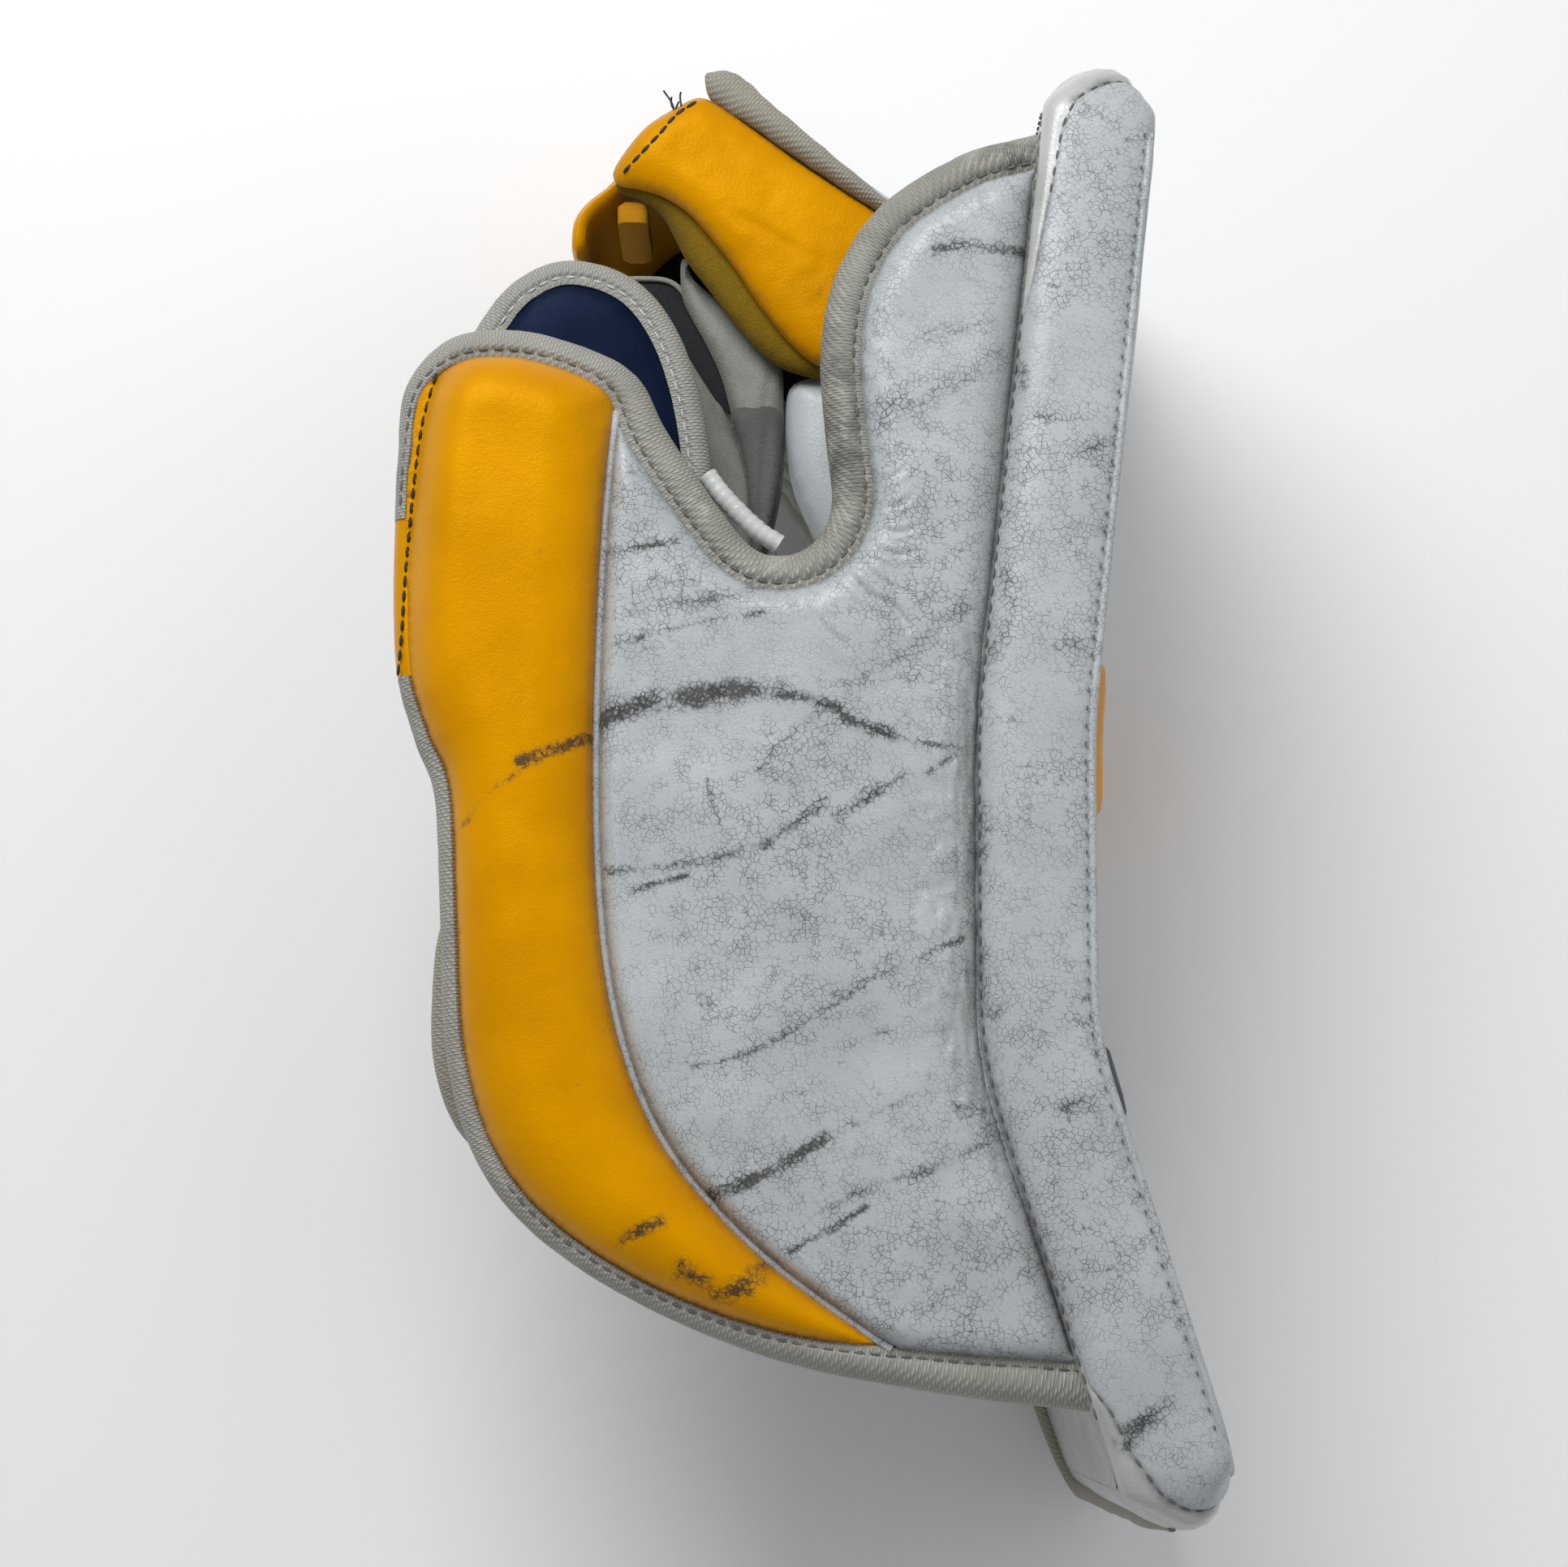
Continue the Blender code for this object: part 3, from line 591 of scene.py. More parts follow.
@dataclass(frozen=True)
class Hard:
    """Moulded sheet, foam or metal: one colour with a fine surface."""

    name: str
    colour: Colour
    roughness: float
    metallic: float = 0.0
    grain: float = 900.0
    depth: float = 0.00005

    def make(self) -> bpy.types.Material:
        """Builds the material."""
        p = Palette(self.name)
        where = p.place()
        fine = p.noise(where, self.grain, 3.0, 0.6)
        worn = p.noise(where, 60.0, 3.0, 0.6)
        p.set(Base_Color=p.mix(worn.ramp(0.35, 0.75), self.colour, tuple(c * 0.8 for c in self.colour)))
        p.set(Roughness=fine * 0.2 + self.roughness - 0.1, Metallic=self.metallic)
        p.bump(fine, self.depth)
        return p.material


class Finish(Enum):
    """The finishes of the blocker, each made once."""

    WHITE = Leather("white_leather", (0.45, 0.475, 0.49), (0.385, 0.41, 0.42), 0.85, 0.36)
    PANEL_WHITE = Leather("panel_white_leather", (0.50, 0.53, 0.545), (0.44, 0.47, 0.49), 0.3, 0.38)
    GLOSS_WHITE = Leather("gloss_white_leather", (0.50, 0.51, 0.50), (0.36, 0.365, 0.355), 0.25, 0.24, coat=0.4)
    YELLOW = Leather("yellow_leather", (0.66, 0.285, 0.0), (0.57, 0.235, 0.0), 0.16, 0.4, 1.9,
                     crack_colour=(0.30, 0.115, 0.0), depth=0.00014, shine=(1.0, 0.55, 0.02))
    NAVY = Leather("navy_leather", (0.0035, 0.0065, 0.021), (0.005, 0.009, 0.027), 0.1, 0.36,
                   crack_colour=(0.003, 0.003, 0.01), depth=0.00003, specular=0.25, shine=(0.1, 0.14, 0.3))
    GREY_TAPE = Tape("grey_tape", (0.50, 0.495, 0.44), (0.19, 0.187, 0.16), 0.62)
    PALE_TAPE = Tape("pale_tape", (0.50, 0.50, 0.45), (0.25, 0.25, 0.22), 0.4)
    CREAM_TAPE = Tape("cream_tape", (0.46, 0.435, 0.355), (0.2, 0.185, 0.145), 0.55)
    SUEDE = Cloth("grey_suede", (0.36, 0.375, 0.33), (0.25, 0.26, 0.23), 0.5, 0.15, 0.6)
    DUN = Cloth("worn_suede", (0.17, 0.18, 0.165), (0.11, 0.12, 0.11), 0.5, 0.1, 0.6)
    OLIVE = Cloth("olive_lining", (0.24, 0.145, 0.001), (0.16, 0.095, 0.0), 0.7, 0.05, 0.45)
    KNIT = Cloth("black_knit", (0.010, 0.012, 0.013), (0.02, 0.022, 0.024), 0.9, 0.1, 0.2)
    LOOP = Cloth("black_loop", (0.012, 0.012, 0.014), (0.04, 0.04, 0.043), 1.4, 0.2, 0.2)
    FOLD = Cloth("yellow_fold", (0.50, 0.22, 0.0), (0.38, 0.17, 0.0), 0.7, 0.0, 0.3)
    FOAM = Hard("grey_foam", (0.30, 0.31, 0.33), 0.9, grain=2400.0, depth=0.0001)
    SHEET = Hard("plastic_sheet", (0.75, 0.76, 0.78), 0.35)
    STEEL = Hard("bolt_steel", (0.55, 0.56, 0.58), 0.3, 1.0, 1500.0)
    BLACK_THREAD = Hard("black_thread", (0.012, 0.012, 0.016), 0.55, grain=2600.0, depth=0.0001)
    GREY_THREAD = Hard("grey_thread", (0.13, 0.13, 0.12), 0.6, grain=2600.0, depth=0.0001)
    LACE = Leather("lace_leather", (0.62, 0.63, 0.62), (0.5, 0.51, 0.5), 0.2, 0.3)
    WHITE_THREAD = Hard("white_thread", (0.55, 0.56, 0.57), 0.6, grain=2600.0, depth=0.0001)


MADE: dict[Finish, bpy.types.Material] = {}


def finish_material(finish: Finish) -> bpy.types.Material:
    """The material of a finish."""
    if finish not in MADE:
        MADE[finish] = finish.value.make()
    return MADE[finish]


# ---------------------------------------------------------------- meshes

@dataclass(frozen=True)
class Scuff:
    """A dark mark rubbed along a line: its points, its half width and its strength."""

    points: Points
    width: float
    strength: float

    def on(self, points: Array) -> Array:
        """How dark the mark is at each point: thin strands that swell and fade along the way."""
        line = smooth(self.points, steps=4)
        near = distance_to(points, line)
        within = near < 3.2 * self.width + 4
        dark = np.zeros(len(points))
        close = points[within]
        if not len(close):
            return dark
        way = line[-1] - line[0]
        way = way / max(np.linalg.norm(way), 1e-6)
        along, across = close @ way, close @ np.array([-way[1], way[0]])
        seed = float(line[0] @ (0.37, 0.73))
        strands = ripple(np.column_stack([along / 7.0, across]), 0.95, seed)
        patches = ripple(along, 9.0, seed + 2.0)
        edge = near[within] + 0.35 * self.width * ripple(close, 3.0, seed)
        body = np.exp(-(edge / self.width) ** 2)
        halo = 0.16 * np.exp(-(near[within] / (self.width + 3.0)) ** 2)
        dark[within] = np.clip(self.strength * (body * (0.72 + 0.4 * strands + 0.34 * patches) + halo), 0, 1.1)
        return dark


def bend_with(piece: bpy.types.Object) -> None:
    """Takes a soft piece off its body, so that it stays fixed in the world instead of following one.

    Args:
        piece: The piece.
    """
    piece.parent = None
    piece.matrix_world = Matrix.Identity(4)
    del piece["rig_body"]
    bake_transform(piece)


@dataclass(frozen=True)
class Crease:
    """A fold pressed into a surface: its points, its half width and its depth."""

    points: Points
    width: float
    depth: float

    def on(self, points: Array) -> Array:
        """The change of height at each point: a groove with a raised lip."""
        line = smooth(self.points)
        near = distance_to(points, line) / self.width
        ends = np.minimum(np.linalg.norm(points - line[0], axis=1), np.linalg.norm(points - line[-1], axis=1))
        fade = np.clip(ends / (4 * self.width), 0.25, 1)
        return fade * self.depth * (0.5 * np.exp(-((near - 2.0) / 1.1) ** 2) - np.exp(-near ** 2))


@dataclass(frozen=True)
class Rim:
    """One stretch of a pad's seam, and how far from it the pad takes to reach its full height."""

    curve: Array
    reach: float
    closed: bool = False


def make_piece(name: str, vertices: Array, faces: list, finish: Finish, body: str, cad: Sequence[str] = (),
               uv: Optional[list] = None,
               paint: Optional[dict[str, Array]] = None, sharp: float = 55.0,
               second: Optional[tuple[Finish, Sequence[int]]] = None) -> bpy.types.Object:
    """Makes a finished piece and ties it to its body.

    Args:
        name: The piece's name.
        vertices: Positions in millimetres.
        faces: Lists of vertex numbers.
        finish: The piece's finish.
        body: The body it moves with.
        cad: The frame's nodes that it stands for.
        uv: A pattern position for each face corner, in metres.
        paint: Values for each vertex, by name.
        sharp: The least angle of a sharp edge, in degrees.
        second: A second finish, and the faces that have it.

    Returns:
        The piece.
    """
    mesh = bpy.data.meshes.new(name)
    mesh.from_pydata([tuple(v) for v in np.asarray(vertices) * MM], [], faces)
    if uv is not None:
        layer = mesh.uv_layers.new(name="pattern")
        layer.data.foreach_set("uv", np.asarray(uv, np.float32).ravel())
    for key, values in (paint or {}).items():
        mesh.attributes.new(key, "FLOAT", "POINT").data.foreach_set("value", np.asarray(values, np.float32))
    form = bmesh.new()
    form.from_mesh(mesh)
    bmesh.ops.recalc_face_normals(form, faces=form.faces)
    form.to_mesh(mesh)
    form.free()
    mesh.shade_smooth()
    mesh.set_sharp_from_angle(angle=math.radians(sharp))
    mesh.materials.append(finish_material(finish))
    if second:
        mesh.materials.append(finish_material(second[0]))
        chosen = np.zeros(len(mesh.polygons), np.int32)
        chosen[list(second[1])] = 1
        mesh.polygons.foreach_set("material_index", chosen)
    piece = add_object(name, mesh)
    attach(piece, body)
    if cad:
        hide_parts(*cad)
    LOG.info("%s: %d points", name, len(vertices))
    return piece


THINNEST = 0.4


@dataclass
class Pad:
    """A padded panel: a pattern outline, raised from its seam to a crown.

    floor and base are the heights of its back and of its seam, and rise is the crown's height over the seam.
    under is how far its back bulges. relief gives extra height at each point of the pattern.
    """

    name: str
    loop: Array
    finish: Finish
    body: str
    floor: float
    base: float
    rise: float
    surface: Surface = FLAT
    rims: Sequence[Rim] = ()
    reach: float = 6.0
    spacing: float = 2.2
    under: float = 0.0
    power: float = 2.0
    cad: Sequence[str] = ()
    fill: Optional[float] = 0.7
    relief: Optional[Callable[[Array], Array]] = None
    creases: Sequence[Crease] = ()
    scuffs: Sequence[Scuff] = ()
    lumps: float = 0.25
    grime: float = 0.5
    seed: float = 1.0
    shelf: Optional[Array] = None

    def crown(self, points: Array) -> Array:
        """The share of the full rise at each point, from 0 on the seam to 1."""
        share = np.ones(len(points))
        for rim in self.rims or (Rim(self.loop, self.reach, True),):
            near = np.clip(distance_to(points, rim.curve, rim.closed) / rim.reach, 0, 1)
            share *= (1 - (1 - near) ** self.power) ** (1 / self.power)
        if self.shelf is not None:
            share = np.where(inside(points, self.shelf), 0.12, share)
        return share

    def build(self) -> bpy.types.Object:
        """Makes the piece."""
        loop = resample(counter_clockwise(np.asarray(self.loop, float)), self.spacing, True)
        low, high = loop.min(0), loop.max(0)
        row = self.spacing * math.sqrt(3) / 2
        across = np.arange(low[0], high[0] + self.spacing, self.spacing)
        grid = np.vstack([raised(across + (self.spacing / 2 if k % 2 else 0), y)
                          for k, y in enumerate(np.arange(low[1], high[1] + row, row))])
        grid = grid[inside(grid, loop)]
        grid = grid[distance_to(grid, loop, True) > 0.6 * self.spacing]
        everywhere = [Vector(p) for p in np.vstack([loop, grid])]
        found = delaunay_2d_cdt(everywhere, [], [list(range(len(loop)))], 1, 1e-4)
        points = np.array([tuple(v) for v in found[0]])
        tops = [list(f) for f in found[2]]
        share = self.crown(points)
        height = self.base + self.rise * share
        height += self.lumps * share * (ripple(points, 34, self.seed) + 0.5 * ripple(points, 13, self.seed + 3))
        if self.relief:
            height += self.relief(points)
        for crease in self.creases:
            height += crease.on(points)
        height = np.maximum(height, self.floor + THINNEST)
        count = len(points)
        edges = {(a, b) for f in tops for a, b in zip(f, f[1:] + f[:1])}
        after = {a: b for a, b in edges if (b, a) not in edges}
        plain = self.under == 0 and self.surface is FLAT
        if plain:
            start = next(iter(after))
            ring = [start]
            while after[ring[-1]] != start:
                ring.append(after[ring[-1]])
            low_of = {k: count + i for i, k in enumerate(ring)}
            under = points[ring]
            back = np.full(len(ring), self.floor)
            faces = tops + [[low_of[k] for k in reversed(ring)]]
        else:
            low_of = {k: count + k for k in range(count)}
            under, back = points, self.floor - self.under * share
            faces = tops + [[i + count for i in reversed(f)] for f in tops]
        vertices = np.vstack([np.column_stack([points, height]), np.column_stack([under, back])])
        faces += [[b, a, low_of[a], low_of[b]] for a, b in after.items()]
        marks = np.zeros(count)
        for scuff in self.scuffs:
            marks = np.maximum(marks, scuff.on(points))
        edge_dirt = self.grime * np.exp(-(distance_to(points, loop, True) / 2.2) ** 1.3)
        rest = np.zeros(len(under))
        paint = {"scuff": np.concatenate([marks, rest]), "grime": np.concatenate([edge_dirt, rest + 0.2])}
        return make_piece(self.name, self.surface.place(vertices), faces, self.finish, self.body, self.cad,
                          paint=paint)


def ring_faces(rings: int, sides: int, closed: bool) -> tuple[list, list]:
    """Faces that join rings of points, and which ring and side each face's corners are on.

    Args:
        rings: The number of rings.
        sides: The points in each ring.
        closed: Whether the last ring joins the first. The ends of an open run are filled.

    Returns:
        The faces, and for each corner its ring and side, counted on past a wrap.
    """
    faces, corners = [], []
    for i in range(rings if closed else rings - 1):
        for j in range(sides):
            spots = ((i, j), (i + 1, j), (i + 1, j + 1), (i, j + 1))
            faces.append([(a % rings) * sides + b % sides for a, b in spots])
            corners.extend(spots)
    if not closed:
        for i, order in ((0, range(sides)), (rings - 1, range(sides - 1, -1, -1))):
            faces.append([i * sides + j for j in order])
            corners.extend((i, j) for j in order)
    return faces, corners


def ring_uv(centres: Array, section: Array, corners: list, closed: bool) -> list:
    """Pattern positions for a run of rings: how far along, and how far round, in metres."""
    far = travel(np.vstack([centres, centres[:1]]) if closed else centres)
    round_it = travel(np.vstack([section, section[:1]]))
    return [(far[min(i, len(far) - 1)] * MM, round_it[j] * MM) for i, j in corners]


@dataclass(frozen=True)
class TapeShape:
    """The section of edging folded over an edge: round outside, pressed flat at its inner edge.

    middle: the height of its middle.
    half: half its thickness.
    press: how much thinner it is pressed at its inner edge.
    nose: how far in from the edge it stays round.
    """

    middle: float
    half: float
    press: float = 1.3
    nose: float = 6.0

    def top(self, inward: float, width: float) -> float:
        """The height of its face, a given way in from the edge, with a channel where it is stitched."""
        nose = min(self.nose, width * 0.8)
        channel = 0.55 * math.exp(-((width - inward - 2.1) / 0.8) ** 2)
        if inward < nose:
            rounding = math.sqrt(max(1 - (1 - inward / nose) ** 2, 0.0))
            return self.half * rounding - channel * min(inward / nose, 1)
        return self.half - self.press * ((inward - nose) / max(width - nose, 0.1)) ** 1.5 - channel

    def thread_height(self, inward: float, width: float) -> float:
        """The height of a stitch that lies in the channel."""
        return self.middle + self.top(inward, width) + 0.15

    def section(self, width: float) -> Array:
        """The closed section, from its inner edge over the nose and back underneath."""
        ways = width * (1 - np.sin(np.linspace(0, math.pi / 2, 9)))
        ways = np.sort(np.concatenate([ways, width - np.array([1.1, 1.6, 2.1, 2.6, 3.2])]))[::-1]
        upper = [(a, self.middle + self.top(a, width)) for a in ways]
        lower = [(a, self.middle - self.top(a, width)) for a in ways[::-1][1:]]
        return np.array(upper + lower)


def build_edging(name: str, curve: Array, widths: Array, shape: TapeShape, finish: Finish, body: str,
                 cad: Sequence[str], surface: Surface = FLAT, closed: bool = False, wobble: float = 0.06,
                 seed: float = 2.0, grime: Optional[Callable[[Array], Array]] = None,
                 swell: Union[float, Array] = 1.0, shift: Union[float, Array] = 0.0) -> bpy.types.Object:
    """Sweeps folded edging along the edge of a pattern, which lies on the curve's left.

    Args:
        name: The piece's name.
        curve: The outer edge.
        widths: The tape's width at each point.
        shape: The section.
        finish: Its finish.
        body: The body it moves with.
        cad: The frame's nodes that it stands for.
        surface: What the pattern lies on.
        closed: Whether the edge comes back to its start.
        wobble: How uneven the tape is.
        seed: The seed of its unevenness.
        grime: Gives the dirt at each point of the edge.
        swell: How thick the tape is at each point, against its section.
        shift: How far its middle is moved at each point.

    Returns:
        The piece.
    """
    normals = leftward(curve, closed)
    far = travel(curve)
    loose = 1 + wobble * ripple(far, 9, seed) + 0.6 * wobble * ripple(far, 3.5, seed + 1)
    loose = loose * np.broadcast_to(swell, len(curve))
    moved = np.broadcast_to(shift, len(curve))
    rows = []
    for i, point in enumerate(curve):
        section = shape.section(widths[i])
        lift = (section[:, 1] - shape.middle) * loose[i] + shape.middle + moved[i]
        slip = section[:, 0] + 0.3 * min(abs(loose[i] - 1), 0.12) * shape.half
        rows.append(np.column_stack([point + normals[i] * slip[:, None], lift]))
    sides = len(rows[0])
    faces, corners = ring_faces(len(rows), sides, closed)
    uv = ring_uv(curve, shape.section(float(np.mean(widths))), corners, closed)
    dirt = np.repeat(grime(curve) if grime else np.full(len(curve), 0.25), sides)
    paint = {"grime": dirt, "scuff": np.zeros(len(dirt))}
    return make_piece(name, surface.place(np.vstack(rows)), faces, finish, body, cad, uv=uv, paint=paint)


def build_tube(name: str, path: Array, radius: Union[float, Array], finish: Finish, body: str,
               cad: Sequence[str] = (), sides: int = 10, closed: bool = False,
               flat: float = 1.0) -> bpy.types.Object:
    """Sweeps a round cord along a path in space.

    Args:
        name: The piece's name.
        path: The path's points.
        radius: Its radius, or one for each point.
        finish: Its finish.
        body: The body it moves with.
        cad: The frame's nodes that it stands for.
        sides: Points round the cord.
        closed: Whether the path comes back to its start.
        flat: How much thinner it is one way than the other.

    Returns:
        The piece.
    """
    ahead = np.roll(path, -1, axis=0) - np.roll(path, 1, axis=0) if closed else np.gradient(path, axis=0)
    ahead /= np.linalg.norm(ahead, axis=1)[:, None]
    side = np.cross(ahead[0], (0.0, 0.0, 1.0) if abs(ahead[0][2]) < 0.9 else (1.0, 0.0, 0.0))
    radii = np.broadcast_to(radius, len(path))
    angles = np.linspace(0, 2 * math.pi, sides, endpoint=False)
    rows = []
    for point, way, r in zip(path, ahead, radii):
        side = side - way * (side @ way)
        side /= np.linalg.norm(side)
        up = np.cross(way, side)
        rows.append(point + r * (np.cos(angles)[:, None] * side * flat + np.sin(angles)[:, None] * up))
    faces, corners = ring_faces(len(rows), sides, closed)
    section = np.column_stack([np.cos(angles), np.sin(angles)]) * float(np.mean(radii))
    uv = ring_uv(path, section, corners, closed)
    clean = np.zeros(len(path) * sides)
    return make_piece(name, np.vstack(rows), faces, finish, body, cad, uv=uv,
                      paint={"scuff": clean, "grime": clean + 0.2})


# ---------------------------------------------------------------- stitching

@dataclass
class StitchRow:
    """A row of stitches, laid by geometry nodes along lines that lie on the finished surface."""

    name: str
    lines: Sequence[Array]
    finish: Finish
    body: str
    pitch: float = 4.2
    length: float = 3.1
    radius: float = 0.38

    def tree(self) -> bpy.types.NodeTree:
        """The node tree: even points along each line, a stitch on each, made real."""
        tree = bpy.data.node_groups.new(self.name + "_layout", "GeometryNodeTree")
        face = tree.interface
        face.new_socket("Geometry", in_out="INPUT", socket_type="NodeSocketGeometry")
        for label in ("Pitch", "Length", "Radius"):
            face.new_socket(label, in_out="INPUT", socket_type="NodeSocketFloat")
        face.new_socket("Thread", in_out="INPUT", socket_type="NodeSocketMaterial")
        face.new_socket("Geometry", in_out="OUTPUT", socket_type="NodeSocketGeometry")
        start = tree.nodes.new("NodeGroupInput").outputs

        def add(kind: str, **values: object) -> bpy.types.Node:
            """Adds a node with values or links for its sockets."""
            made = tree.nodes.new(kind)
            for key, value in values.items():
                feed(tree, made.inputs[key], value)
            return made

        spaced = tree.nodes.new("GeometryNodeResampleCurve")
        spaced.mode = "LENGTH"
        tree.links.new(start["Geometry"], spaced.inputs["Curve"])
        tree.links.new(start["Pitch"], spaced.inputs["Length"])
        half = tree.nodes.new("ShaderNodeMath")
        half.operation = "MULTIPLY"
        half.inputs[1].default_value = 0.5
        tree.links.new(start["Length"], half.inputs[0])
        shape = add("ShaderNodeCombineXYZ", X=start["Radius"], Y=start["Radius"], Z=half.outputs[0])
        ball = add("GeometryNodeMeshUVSphere", Segments=6, Rings=5, Radius=1.0)
        aim = tree.nodes.new("FunctionNodeAlignRotationToVector")
        aim.axis = "Z"
        tree.links.new(tree.nodes.new("GeometryNodeInputTangent").outputs[0], aim.inputs["Vector"])
        laid = add("GeometryNodeInstanceOnPoints", Points=spaced.outputs["Curve"], Instance=ball.outputs["Mesh"],
                   Rotation=aim.outputs["Rotation"], Scale=shape.outputs["Vector"])
        real = add("GeometryNodeRealizeInstances", Geometry=laid.outputs["Instances"])
        even = add("GeometryNodeSetShadeSmooth", Geometry=real.outputs["Geometry"])
        dressed = add("GeometryNodeSetMaterial", Geometry=even.outputs["Geometry"], Material=start["Thread"])
        add("NodeGroupOutput", Geometry=dressed.outputs["Geometry"])
        return tree

    def build(self) -> bpy.types.Object:
        """Makes the row as one plain mesh."""
        data = bpy.data.curves.new(self.name + "_line", "CURVE")
        data.dimensions = "3D"
        for line in self.lines:
            spline = data.splines.new("POLY")
            spline.points.add(len(line) - 1)
            flat = np.column_stack([line * MM, np.ones(len(line))]).ravel()
            spline.points.foreach_set("co", flat.astype(np.float32))
        guide = add_object(self.name + "_guide", data)
        modifier = guide.modifiers.new("stitches", "NODES")
        modifier.node_group = tree = self.tree()
        values = {"Pitch": self.pitch * MM, "Length": self.length * MM, "Radius": self.radius * MM,
                  "Thread": finish_material(self.finish)}
        for item in tree.interface.items_tree:
            if item.in_out == "INPUT" and item.name in values:
                modifier[item.identifier] = values[item.name]
        bpy.context.view_layer.update()
        mesh = bpy.data.meshes.new_from_object(guide.evaluated_get(bpy.context.evaluated_depsgraph_get()))
        bpy.data.objects.remove(guide)
        if not mesh.materials:
            mesh.materials.append(finish_material(self.finish))
        piece = add_object(self.name, mesh)
        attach(piece, self.body)
        LOG.info("%s: %d stitches", self.name, len(mesh.polygons) // 30)
        return piece


# ---------------------------------------------------------------- the board

BAND_SCUFFS = tuple(Scuff(*row) for row in (
    (((19, -165), (24, -160), (30, -156)), 2.6, 0.8),
    (((4, -81), (12, -80)), 2.0, 0.5),
    (((4, 38), (10, 39)), 2.5, 0.4),
    (((12, 90), (20, 95)), 1.5, 0.5),
    (((-9, 59), (-8, 46), (-12, 38)), 1.8, 0.5),
    (((-15, -3), (-15, -17)), 1.8, 0.4),
    (((-16, -42), (-14, -55), (-12, -57)), 2.0, 0.6),
    (((9, -54), (12, -52)), 1.0, 0.4),
    (((-2, 100), (14, 99)), 1.0, 0.4),
    (((26, 166), (26, 164)), 2.0, 0.4),
    (((-5, 119), (-4, 109)), 1.5, 0.5),
    (((2, -135), (11, -129), (16, -123)), 6.0, 0.25),
))


